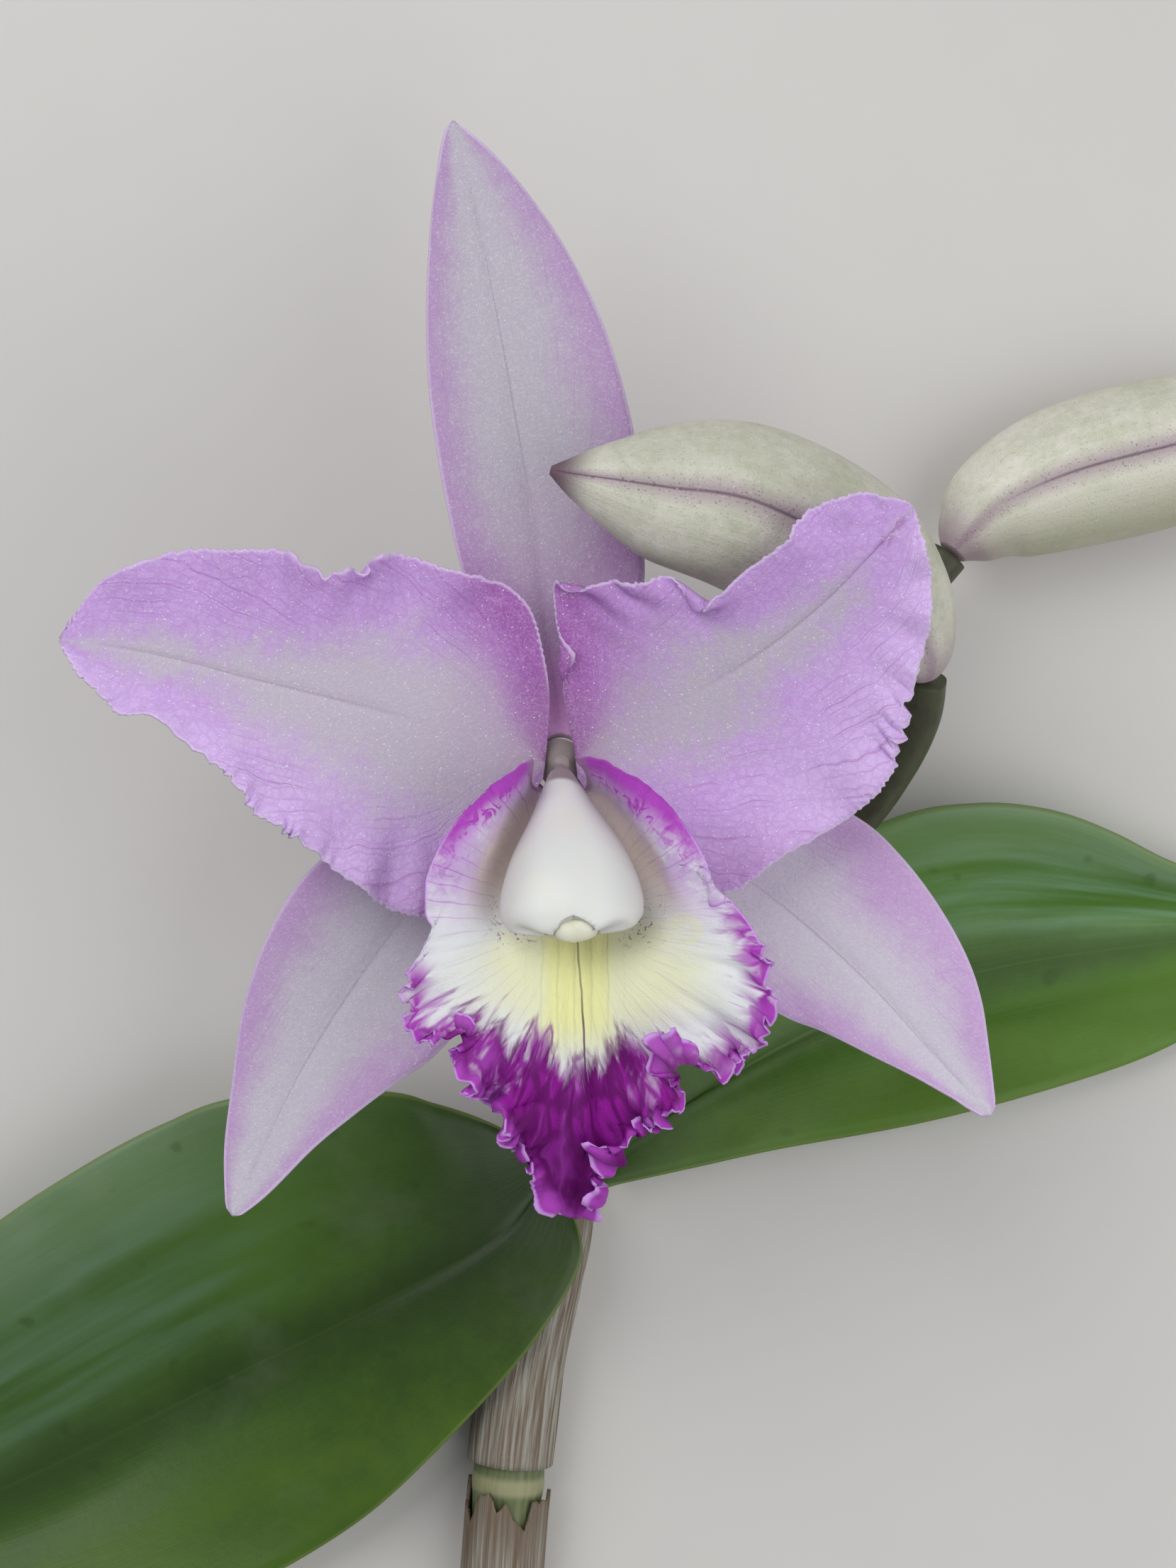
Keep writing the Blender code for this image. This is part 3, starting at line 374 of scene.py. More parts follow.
class Blade:
    """A blade's surface as a grid: rows from claw to tip, columns from its first edge to its last."""

    def __init__(self, lines, columns, rows, dense=()):
        """dense: shares of the length round which the rows lie closer together."""
        self.size = (columns, rows)
        across = np.linspace(0, 1, columns + 1)
        steps = np.linspace(0, 1, 2001)
        density = np.ones_like(steps) + sum(4 * hump(steps - at, 0.022) for at in dense)
        count = np.cumsum(density)
        length = np.interp(np.linspace(count[0], count[-1], rows + 1), count, steps)
        self.u, self.v = np.meshgrid(across, length)
        self.edge = np.abs(2 * self.u - 1)
        self.side = np.where(self.u > 0.5, 1.0, -1.0)
        guides = np.array([along(line, length) for line in lines])
        if len(lines) == 3:
            doubled = 2 * across - 1
            mix = np.stack([doubled * (across - 1), 4 * across * (1 - across), doubled * across], 1)
        else:
            mix = line_weights(len(lines), across)
        self.points = np.einsum("ul,lvc->vuc", mix, guides)
        self.measure()

    def measure(self):
        """Directions across, along and out of the surface, and each point's way along and off its edge."""
        across = np.gradient(self.points, axis=1)
        forward = np.gradient(self.points, axis=0)
        self.normal = unit(np.cross(across, forward))
        self.up = self.normal * np.sign(self.normal[..., 2].mean())
        self.forward = unit(forward)
        steps = np.linalg.norm(np.diff(self.points, axis=0), axis=2)
        travelled = np.vstack([np.zeros((1, steps.shape[1])), np.cumsum(steps, axis=0)])
        self.rim = np.where(self.side < 0, travelled[:, :1], travelled[:, -1:])
        gaps = np.linalg.norm(np.diff(self.points, axis=1), axis=2)
        from_first = np.hstack([np.zeros((gaps.shape[0], 1)), np.cumsum(gaps, axis=1)])
        self.margin = np.minimum(from_first, from_first[:, -1:] - from_first)
        self.half = self.margin.max(axis=1, keepdims=True)
        away = []
        for column, sign in ((0, -1), (-1, 1)):
            course = unit(np.gradient(self.points[:, column], axis=0))
            out = np.cross(course, self.up[:, column])
            out *= np.sign((out * unit(across[:, column]) * sign).sum(axis=1, keepdims=True) + 1e-9)
            away.append(unit(out)[:, None, :])
        self.outward = np.where(self.side[..., None] < 0, away[0], away[1])

    def push(self, way, amount):
        """Moves every point by its amount along its direction."""
        self.points += way * amount[..., None]

    def reach(self, depth):
        """0 inside, rising to 1 at the edge over a band of a given depth."""
        return smooth(1 - self.margin / np.minimum(depth, 0.85 * self.half))

    def add_waves(self, waves, share=1.0):
        """Broad ruffles like those of the part's solids, at a share of the height in the table."""
        reach = smooth((self.edge - waves["inner"]) / (1 - waves["inner"])) ** 1.3
        ends = between(self.v, waves["start"], waves["end"], 0.12, 0.1)
        drift = 0.3 * np.sin(WHOLE_TURN * (1.7 * self.v + self.side * 0.21) + waves["seed"])
        turn = WHOLE_TURN * (waves["count"] * self.v + drift + self.side * 0.17)
        size = 0.75 + 0.25 * np.sin(WHOLE_TURN * 2.3 * self.v + 2 * waves["seed"] + self.side)
        self.push(self.normal, share * waves["height"] * reach * ends * size * np.sin(turn))

    def add_frill(self, length, height, depth, start, end, seed, lean, only=0):
        """Finer ruffles of a given length along both edges, or only one, that lean at their crests."""
        ends = between(self.v, start, end, 0.06, 0.05) * (self.side * only >= 0)
        place = self.rim + self.side * 3.7 + seed
        drift = 0.3 * np.sin(place / (0.86 * length) + seed)
        drift = drift + 0.22 * np.sin(place / (0.47 * length) + 2 * seed)
        turn = WHOLE_TURN * (place / length + drift)
        uneven = 0.65 + 0.35 * np.sin(place / (0.7 * length) + 3 * seed)
        size = height * self.reach(depth) ** 1.4 * ends * uneven
        self.push(self.up, size * np.sin(turn))
        self.push(self.outward, -size * lean * np.sin(turn + 0.6))
        self.push(self.forward, size * 0.35 * np.sin(2 * turn))

    def add_folds(self, folds, depth=7.5, cleft=False):
        """Single folds: the blade runs out to its outline, or is cleft, then rises and curls back in."""
        zone = np.minimum(depth, 0.85 * self.half)
        share = np.clip(1 - self.margin / zone, 0, 1)
        out = np.where(share < 0.55, np.sin(np.pi / 2 * share / 0.55), 1) - share
        back = 1 - np.cos(np.pi / 2 * np.clip((share - 0.5) / 0.5, 0, 1))
        lift = smooth((share - 0.3) / 0.7)
        blunt = 0.55 if cleft else 0.3
        for side, length, width, rise, pull, pinch in folds:
            nearest = np.abs(self.v[:, 0] - length).argmin()
            centre = self.rim[nearest, 0 if side < 0 else -1]
            place = (self.rim - centre) / width
            own_side = self.side == side
            bump = np.exp(-1.5 * (np.sqrt(place**2 + blunt**2) - blunt)) * own_side
            keep = 0 if cleft else min(1, max(0, (abs(pull) - 1.5) / 2))
            neck = pinch * width * np.sin(np.pi * np.clip(place, -1.6, 1.6)) * np.exp(-place**2 / 1.5)
            self.push(self.up, rise * bump * lift)
            self.push(self.outward, bump * (keep * zone * out - pull * back))
            self.push(self.forward, neck * own_side * back)

    def add_teeth(self, depth, length=1.1, start=0.1):
        """Fine uneven teeth on the edge."""
        place = self.rim + self.side * 5.3
        wobble = np.sin(WHOLE_TURN * place / length + 1.4 * np.sin(place / 1.9))
        wobble = wobble + 0.6 * np.sin(place * 9.1 / length)
        size = depth * self.reach(1.2) * smooth((self.v - start) / 0.1) * (0.6 + 0.4 * np.sin(place / 4.3))
        self.push(self.outward, size * wobble)
        self.push(self.up, 0.6 * size * np.sin(place * 7.3 / length))

    def add_pleats(self, count, height, slant, inner=0.1):
        """Shallow folds that fan from the midrib to the edge."""
        reach = smooth((self.edge - inner) / (1 - inner))
        ends = between(self.v, 0, 1, 0.15, 0.12)
        turn = WHOLE_TURN * (count * (self.v - slant * self.edge) + 0.35 * np.sin(5 * self.v + self.side))
        size = height * reach * ends * (0.6 + 0.4 * np.sin(11 * self.v + 2.1 * self.side))
        self.push(self.up, size * np.sin(turn))

    def add_midrib(self, depth, width=0.08, start=0.0):
        """Furrow along the middle."""
        self.push(self.up, -depth * hump(self.edge, width) * between(self.v, start, 0.95, 0.1, 0.1))

    def draw_to_point(self, start):
        """Narrows the last rows to a rounded point."""
        share = np.clip((self.v - start) / (1 - start), 0, 1)
        middle = self.points[:, self.size[0] // 2][:, None]
        self.push(middle - self.points, 0.92 * (1 - np.sqrt(1 - share**2)))

    def keep_above(self, lowest, bend=1.6):
        """Lifts what lies lower than that, with a gentle bend where the lift begins."""
        height = self.points[..., 2] - lowest
        self.points[..., 2] = lowest + (height + np.sqrt(height**2 + bend**2)) / 2

    def fan(self):
        """Coordinate that stays the same along each vein: it leaves the midrib and bends out to the edge."""
        return np.log(self.edge + 0.15) - 2.2 * self.v

    def maps(self):
        """Maps for a finish: shares across and along, and the veins' coordinate with the way off the edge."""
        return {"blade": (self.u, self.v), "veins": (self.fan(), self.margin / 10)}

    def thin_edge(self, depth):
        """Thickness share at each point: full inside, thin at the edge."""
        return (0.25 + 0.75 * smooth(self.margin / depth)).ravel()


def round_places(axis, shares, angle, up, width, height):
    """Places round an axis, each at a share of its length, an angle, and the half width and height there."""
    step = 0.02
    forward = unit(along(axis, np.minimum(shares + step, 1)) - along(axis, np.maximum(shares - step, 0)))
    sideways = unit(np.cross(forward, up))
    upward = unit(np.cross(sideways, forward))
    off_axis = sideways * (width * np.cos(angle))[:, None] + upward * (height * np.sin(angle))[:, None]
    return along(axis, shares) + off_axis


class Tube:
    """Papery tube round an axis with a torn upper end, slit along its upper side where split is over 0."""

    def __init__(self, axis, radius, span, faces, tear, split=0.0, lowest=-math.inf):
        """radius: the tube's radius at shares of the axis. faces: how many round it and along it."""
        self.size = faces
        self.slit = split > 0
        turn, length = np.meshgrid(np.linspace(0, 1, faces[0] + 1), np.linspace(0, 1, faces[1] + 1))
        self.maps = {"blade": (turn, length)}
        turn = turn.ravel()
        length = length.ravel()
        angle = math.pi / 2 + split + (WHOLE_TURN - 2 * split) * turn
        torn = smooth((length - 0.75) / 0.25)
        ragged = np.sin(4 * angle) + 0.6 * np.sin(9 * angle + 1) + 0.4 * np.sin(17 * angle)
        shares = span[0] + (span[1] - span[0]) * length + 0.012 * torn * ragged
        size = radius(shares) + tear * np.sin(3 * angle + 1) * torn
        size = size + 0.12 * np.sin(8 * angle + 5 * length) * np.sin(14 * length)
        self.points = round_places(axis, shares, angle, (0, 0, 1), size, size)
        self.points[:, 2] = np.maximum(self.points[:, 2], lowest)

    def mesh(self):
        bm = grid_mesh(self.size, self.points, self.maps)
        if not self.slit:
            bmesh.ops.remove_doubles(bm, verts=bm.verts[:], dist=1e-6)
        return bm


def round_body(axis, section, sides, rings, up=(0, 0, 1), flat_ends=False, lowest=-math.inf, shift=None):
    """Closed body along an axis; section gives its half width and half height at each share and angle."""
    bm = bmesh.new()
    layer = bm.loops.layers.uv.new("round")
    bmesh.ops.create_uvsphere(bm, u_segments=sides, v_segments=rings, radius=1)
    ball = np.array([vert.co for vert in bm.verts])
    turn = np.arccos(np.clip(ball[:, 2], -1, 1)) / math.pi
    angle = np.arctan2(ball[:, 1], ball[:, 0])
    free = (turn >= 1e-4) & (turn <= 1 - 1e-4)
    shares = np.clip((turn * rings - 1) / (rings - 2) if flat_ends else turn, 0, 1)
    width, height = (np.where(free, size, 0) for size in section(shares, angle))
    points = round_places(axis, shares, angle, up, width, height)
    if shift is not None:
        points += shift(shares, angle) * free[:, None]
    points[:, 2] = np.maximum(points[:, 2], lowest)
    set_places(bm, points)
    for face in bm.faces:
        turns = [angle[corner.vert.index] for corner in face.loops]
        over_seam = max(turns) - min(turns) > math.pi
        for corner, at in zip(face.loops, turns):
            if over_seam and at < 0:
                at += WHOLE_TURN
            corner[layer].uv = (at / WHOLE_TURN, shares[corner.vert.index])
    bm.normal_update()
    bmesh.ops.recalc_face_normals(bm, faces=bm.faces[:])
    return bm


def finish_piece(name, bm, material, node):
    """Object for a finished mesh, which stands for the part's own node and rides on its one body."""
    old = bpy.data.objects.get(name)
    if old:
        bpy.data.objects.remove(old, do_unlink=True)
    mesh = bpy.data.meshes.new(name)
    bm.to_mesh(mesh)
    bm.free()
    mesh.shade_smooth()
    mesh.materials.append(material)
    piece = bpy.data.objects.new(name, mesh)
    bpy.context.scene.collection.objects.link(piece)
    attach(piece, "root")
    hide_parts(node)
    return piece


def add_wall(piece, thick, shares):
    """Gives a blade its thickness, which the shares make thinner at its edges."""
    group = piece.vertex_groups.new(name="thickness")
    for index, share in enumerate(shares):
        group.add([index], float(share), "REPLACE")
    wall = piece.modifiers.new("Thickness", "SOLIDIFY")
    wall.thickness = thick * MM
    wall.offset = 0
    wall.vertex_group = "thickness"
    wall.thickness_vertex_group = 0.15


def finish_blade(name, blade, maps, material, node, thick, thin):
    """Finished piece of a blade, whose wall thins out where it is nearer to the edge than the last number."""
    piece = finish_piece(name, grid_mesh(blade.size, blade.points, maps), material, node)
    add_wall(piece, thick, blade.thin_edge(thin))


def combine(piece, others, operation):
    """Joins other pieces to a piece, or cuts them out of it, in its own mesh, and takes them away."""
    for other in others:
        change = piece.modifiers.new(other.name, "BOOLEAN")
        change.operation = operation
        change.object = other
    context = bpy.context
    context.view_layer.update()
    mesh = bpy.data.meshes.new_from_object(piece.evaluated_get(context.evaluated_depsgraph_get()))
    piece.modifiers.clear()
    old = piece.data
    piece.data = mesh
    bpy.data.meshes.remove(old)
    for other in others:
        bpy.data.objects.remove(other, do_unlink=True)


def tinted(colour, tone):
    """Colour made lighter or darker by a factor."""
    return [tone * part for part in colour]


class Value:
    """What a node gives. Sums, differences and products of values add the nodes that work them out."""

    def __init__(self, socket):
        self.socket = socket

    def __add__(self, other):
        return calc("ADD", self, other)

    def __radd__(self, other):
        return calc("ADD", other, self)

    def __sub__(self, other):
        return calc("SUBTRACT", self, other)

    def __rsub__(self, other):
        return calc("SUBTRACT", other, self)

    def __mul__(self, other):
        return calc("MULTIPLY", self, other)

    def __truediv__(self, number):
        return calc("MULTIPLY", self, 1 / number)

    def __abs__(self):
        return calc("ABSOLUTE", self)


def join(source, socket):
    """Links a value to a node's input, or sets the input to a plain number or colour."""
    if isinstance(source, Value):
        socket.id_data.links.new(source.socket, socket)
    elif socket.type == "RGBA":
        socket.default_value = (*source[:3], 1)
    else:
        socket.default_value = source


def add_node(kind, inputs, tree=None, **settings):
    """New node with its inputs joined, in the tree of the first value among them unless a tree is given."""
    if tree is None:
        tree = next(source.socket.id_data for source in inputs.values() if isinstance(source, Value))
    made = tree.nodes.new(kind)
    for name, setting in settings.items():
        setattr(made, name, setting)
    for name, source in inputs.items():
        join(source, made.inputs[name])
    return made


def values_of(sockets):
    """Values of a node's outputs, by their names."""
    return {socket.name: Value(socket) for socket in sockets}


def calc(operation, *numbers):
    """What a Math node works out of one or two numbers."""
    return Value(add_node("ShaderNodeMath", dict(enumerate(numbers)), operation=operation).outputs[0])


def largest(*numbers):
    return reduce(partial(calc, "MAXIMUM"), numbers)


def sine(angle):
    return calc("SINE", angle)


def cosine(angle):
    return calc("COSINE", angle)


def band(amount, low, high):
    """0 below low and 1 above high, or the other way round where low is the larger."""
    inputs = {"Value": amount, "From Min": low, "From Max": high}
    return Value(add_node("ShaderNodeMapRange", inputs, interpolation_type="SMOOTHSTEP").outputs["Result"])


def blend(share, first, second):
    """Colour that is the first where the share is 0 and the second where it is 1."""
    return Value(add_node("ShaderNodeMix", {0: share, 6: first, 7: second}, data_type="RGBA").outputs[2])


def noise(place, scale, detail=3.0, rough=0.55, wander=0.0):
    """Cloudy pattern round 0.5."""
    inputs = {"Vector": place, "Scale": scale, "Detail": detail, "Roughness": rough, "Distortion": wander}
    return Value(add_node("ShaderNodeTexNoise", inputs).outputs["Fac"])


def cell_edges(place, scale):
    """Distance from the edges of uneven cells."""
    inputs = {"Vector": place, "Scale": scale}
    return Value(add_node("ShaderNodeTexVoronoi", inputs, feature="DISTANCE_TO_EDGE").outputs["Distance"])


def point(x, y, z=0.0):
    return Value(add_node("ShaderNodeCombineXYZ", {0: x, 1: y, 2: z}).outputs[0])


def split(vector):
    return [Value(socket) for socket in add_node("ShaderNodeSeparateXYZ", {0: vector}).outputs]


def use(group, **inputs):
    """Values that a node group works out, by name."""
    return values_of(add_node("ShaderNodeGroup", inputs, node_tree=group).outputs)


def node_group(name, numbers, outputs, build):
    """Node group, made once, that takes a Place and some numbers; build turns them into what it gives."""
    group = bpy.data.node_groups.get(name)
    if group:
        return group
    group = bpy.data.node_groups.new(name, "ShaderNodeTree")
    group.interface.new_socket("Place", in_out="INPUT", socket_type="NodeSocketVector")
    for label, usual in numbers.items():
        group.interface.new_socket(label, in_out="INPUT", socket_type="NodeSocketFloat").default_value = usual
    for label in outputs:
        group.interface.new_socket(label, in_out="OUTPUT", socket_type="NodeSocketFloat")
    entry = values_of(group.nodes.new("NodeGroupInput").outputs)
    end = group.nodes.new("NodeGroupOutput").inputs
    for label, result in zip(outputs, build(entry)):
        join(result, end[label])
    return group


def petal_cells():
    """Tiny domed cells of a petal's skin, each with its own tone, a few of which catch the light."""
    def build(entry):
        inputs = {"Vector": entry["Place"], "Scale": entry["Scale"]}
        cells = values_of(add_node("ShaderNodeTexVoronoi", inputs).outputs)
        tone = split(cells["Color"])[0]
        dome = 1.0 - cells["Distance"]
        return dome, tone, band(tone, 0.982, 0.988) * band(dome, 0.4, 0.7)
    return node_group("petal cells", {"Scale": 5000.0}, ("Height", "Tone", "Glint"), build)


def skin_net():
    """Fine net of creases between small uneven fields."""
    def build(entry):
        shift = add_node("ShaderNodeTexNoise", {"Vector": entry["Place"], "Scale": 260.0, "Detail": 2.0})
        inputs = {0: Value(shift.outputs["Color"]), "Scale": 0.0034}
        moved = Value(add_node("ShaderNodeVectorMath", inputs, operation="SCALE").outputs[0])
        inputs = {0: entry["Place"], 1: moved}
        place = Value(add_node("ShaderNodeVectorMath", inputs, operation="ADD").outputs[0])
        return [band(cell_edges(place, entry["Scale"]), 0.2, 0.02)]
    return node_group("skin net", {"Scale": 700.0}, ("Line",), build)


def fan_veins():
    """Thin wandering lines, one for each whole step of Position times Count."""
    def build(entry):
        wander = noise(entry["Place"], 95.0, 2.0)
        fine = noise(entry["Place"], 380.0, 1.0)
        at = entry["Position"] * entry["Count"] + (wander + fine * 0.22) * entry["Wander"]
        line = band(1.0 - abs(sine(at * math.pi)), 1.0 - entry["Width"], 1.0)
        return [line * band(wander, 0.34, 0.58)]
    numbers = {"Position": 0.0, "Count": 10.0, "Width": 0.3, "Wander": 1.0}
    return node_group("fan veins", numbers, ("Line",), build)


def mottling():
    """Cloudy change of shade at two sizes."""
    def build(entry):
        broad = noise(entry["Place"], entry["Scale"], 3.0)
        fine = noise(entry["Place"], entry["Scale"] * 6.0, 3.0, 0.65)
        return [broad * 0.6 + fine * 0.4]
    return node_group("mottling", {"Scale": 120.0}, ("Shade",), build)


class Finish:
    """A new material: what its patterns start from, and what they feed."""

    def __init__(self, name, **plain):
        """plain: unpatterned inputs of the main shader, with _ for the spaces in their names."""
        old = bpy.data.materials.get(name)
        if old:
            bpy.data.materials.remove(old)
        self.material = bpy.data.materials.new(name)
        self.material.use_nodes = True
        self.tree = self.material.node_tree
        self.inputs = self.tree.nodes["Principled BSDF"].inputs
        self.colour = None
        for label, amount in plain.items():
            self.inputs[label.replace("_", " ")].default_value = amount

    def place(self):
        """Place on the object, in metres."""
        return Value(add_node("ShaderNodeTexCoord", {}, self.tree).outputs["Object"])

    def map(self, name):
        """First and second value of one of the piece's maps."""
        return split(Value(add_node("ShaderNodeUVMap", {}, self.tree, uv_map=name).outputs[0]))[:2]

    def cover(self, share, colour):
        """Lays another colour over the finish's own, by its share."""
        self.colour = blend(share, self.colour, colour)

    def done(self, height=None, strength=0.0, depth=0.0, roughness=None):
        """The material, once its colour, relief and roughness are joined to the main shader."""
        join(self.colour, self.inputs["Base Color"])
        if roughness is not None:
            join(roughness, self.inputs["Roughness"])
        if height is not None:
            bump = add_node("ShaderNodeBump", {"Height": height, "Strength": strength, "Distance": depth})
            join(Value(bump.outputs[0]), self.inputs["Normal"])
        return self.material


def on_flower(place, right=0.0, ahead=0.0):
    """A place's x and y from a point of the tables, in their millimetres."""
    x, y, _ = split(place)
    return (x - (FLOWER_AT[0] + right) * MM) / MM, (y - (FLOWER_AT[1] + ahead) * MM) / MM


def petal_finish(name, pale, lilac, deep, vein_strength, base_deep, is_sepal=False, spread=0.0):
    """Matt crystalline skin: pale middle, lilac margins, deep pink by the claw, fine veins and a pale rim."""
    finish = Finish(name, Specular_IOR_Level=0.3)
    place = finish.place()
    across, length = finish.map("blade")
    fan, margin = finish.map("veins")
    edge = abs(across * 2.0 - 1.0)
    shade = use(mottling(), Place=place, Scale=70.0)["Shade"]
    cells = use(petal_cells(), Place=place, Scale=PETAL_CELLS)
    net = use(skin_net(), Place=place, Scale=620.0)["Line"]
    wide = use(fan_veins(), Place=place, Position=fan, Count=5.0, Width=0.2, Wander=0.9)["Line"]
    fine = use(fan_veins(), Place=place, Position=fan, Count=12.0, Width=0.4, Wander=2.3)["Line"]
    cloudy = shade - 0.5
    if is_sepal:
        tint = band(edge + cloudy * 1.2, 0.32, 1.0) * 0.9
    else:
        tip = band(length, 0.45, 1.0) * 0.4
        middle = edge + tip + cloudy * 1.7
        middle = band(middle, 0.2 - spread, 0.85 - spread)
        tint = middle * 0.95
    finish.colour = blend(tint, pale, lilac)
    if not is_sepal:
        lit_edge = band(across, 0.6, 1.0) * band(length, 0.15, 0.35)
        finish.cover(lit_edge * 0.6, (0.80, 0.60, 0.97))
        # Deep flush along the inner edges, with light streaks through its upper end
        from_edge = margin + cloudy * 0.9
        upper_side = band(across, 0.5, 0.35)
        upper = band(from_edge, 1.35 + 2.5 * spread, 0.2) * band(length, 0.42, 0.24) * upper_side * 0.92
        top = band(from_edge, 1.5, 0.1) * band(length, 0.85, 0.5) * upper_side * 0.16
        lower = band(from_edge, 1.2, 0.1) * band(length, 0.42, 0.3) * (1.0 - upper_side) * 0.34
        flush = largest(upper, top, lower) * (0.8 + cloudy * 0.8)
        finish.cover(flush, deep)
        streaks = noise(point(margin * 5.0, length * 5.0, 2.0), 1.0, 2.0, 0.5, 0.5)
        streaks = band(streaks, 0.5, 0.68) * upper * band(length, 0.15, 0.24)
        finish.cover(streaks * 0.9, (0.74, 0.50, 0.82))
        blotch = band(noise(place, 420.0, 2.0, 0.6, 1.0), 0.46, 0.6)
        blotch = blotch * band(length, 0.84, 0.89) * band(length, 0.98, 0.94)
        blotch = blotch * band(edge, 0.3, 0.08)
        finish.cover(blotch * (2.5 * spread), deep)
    lines = largest(wide * 0.9, fine * 0.6) * band(edge, 0.12, 0.6)
    lines = largest(lines, net * tint * 0.3)
    finish.cover(lines * vein_strength, deep)
    x, y, _ = split(place)
    near_middle = band(abs(x - (FLOWER_AT[0] - 0.8) * MM), 0.019, 0.002)
    above = band(y, (FLOWER_AT[1] - 7) * MM, (FLOWER_AT[1] + 8) * MM)
    below = band(y, (FLOWER_AT[1] + 44) * MM, (FLOWER_AT[1] + 14) * MM)
    flush = near_middle * above * below * base_deep
    finish.cover(flush * (0.45 + shade * 0.9), deep)
    # Flush at the claws: dark mauve on the petals; on the sepals a pink flush painted much lighter than its
    # own colour, as painted light in the shaded gap by the column
    foot = band(length, 0.2, 0.04) * (0.85 if is_sepal else 0.45)
    finish.cover(foot, (0.90, 0.44, 0.88) if is_sepal else (0.34, 0.20, 0.32))
    rib = band(edge, 0.022, 0.004) * band(length, 0.96, 0.8) * band(length, 0.3, 0.55)
    finish.cover(rib * 0.35, (0.28, 0.16, 0.27))
    tone = cells["Tone"]
    finish.cover(band(tone, 0.6, 1.0) * 0.17, (0.93, 0.88, 0.98))
    finish.cover(band(tone, 0.4, 0.0) * 0.25, lilac)
    rim = band(margin, 0.055, 0.012) * band(length, 0.06, 0.14)
    finish.cover(rim * 0.6, (0.80, 0.66, 0.90))
    # Painted shade on the sepals' claw ends
    if is_sepal:
        finish.cover(band(length, 0.014, 0.006) * 0.8, (0.30, 0.24, 0.25))
    finish.cover(cells["Glint"] * (0.3 if is_sepal else 0.7), (1.0, 1.0, 1.0))
    height = cells["Height"] * 0.5 + tone * 0.3 - net * 0.25
    return finish.done(height, 0.3, 0.0003, roughness=0.6 - cells["Glint"] * 0.35)


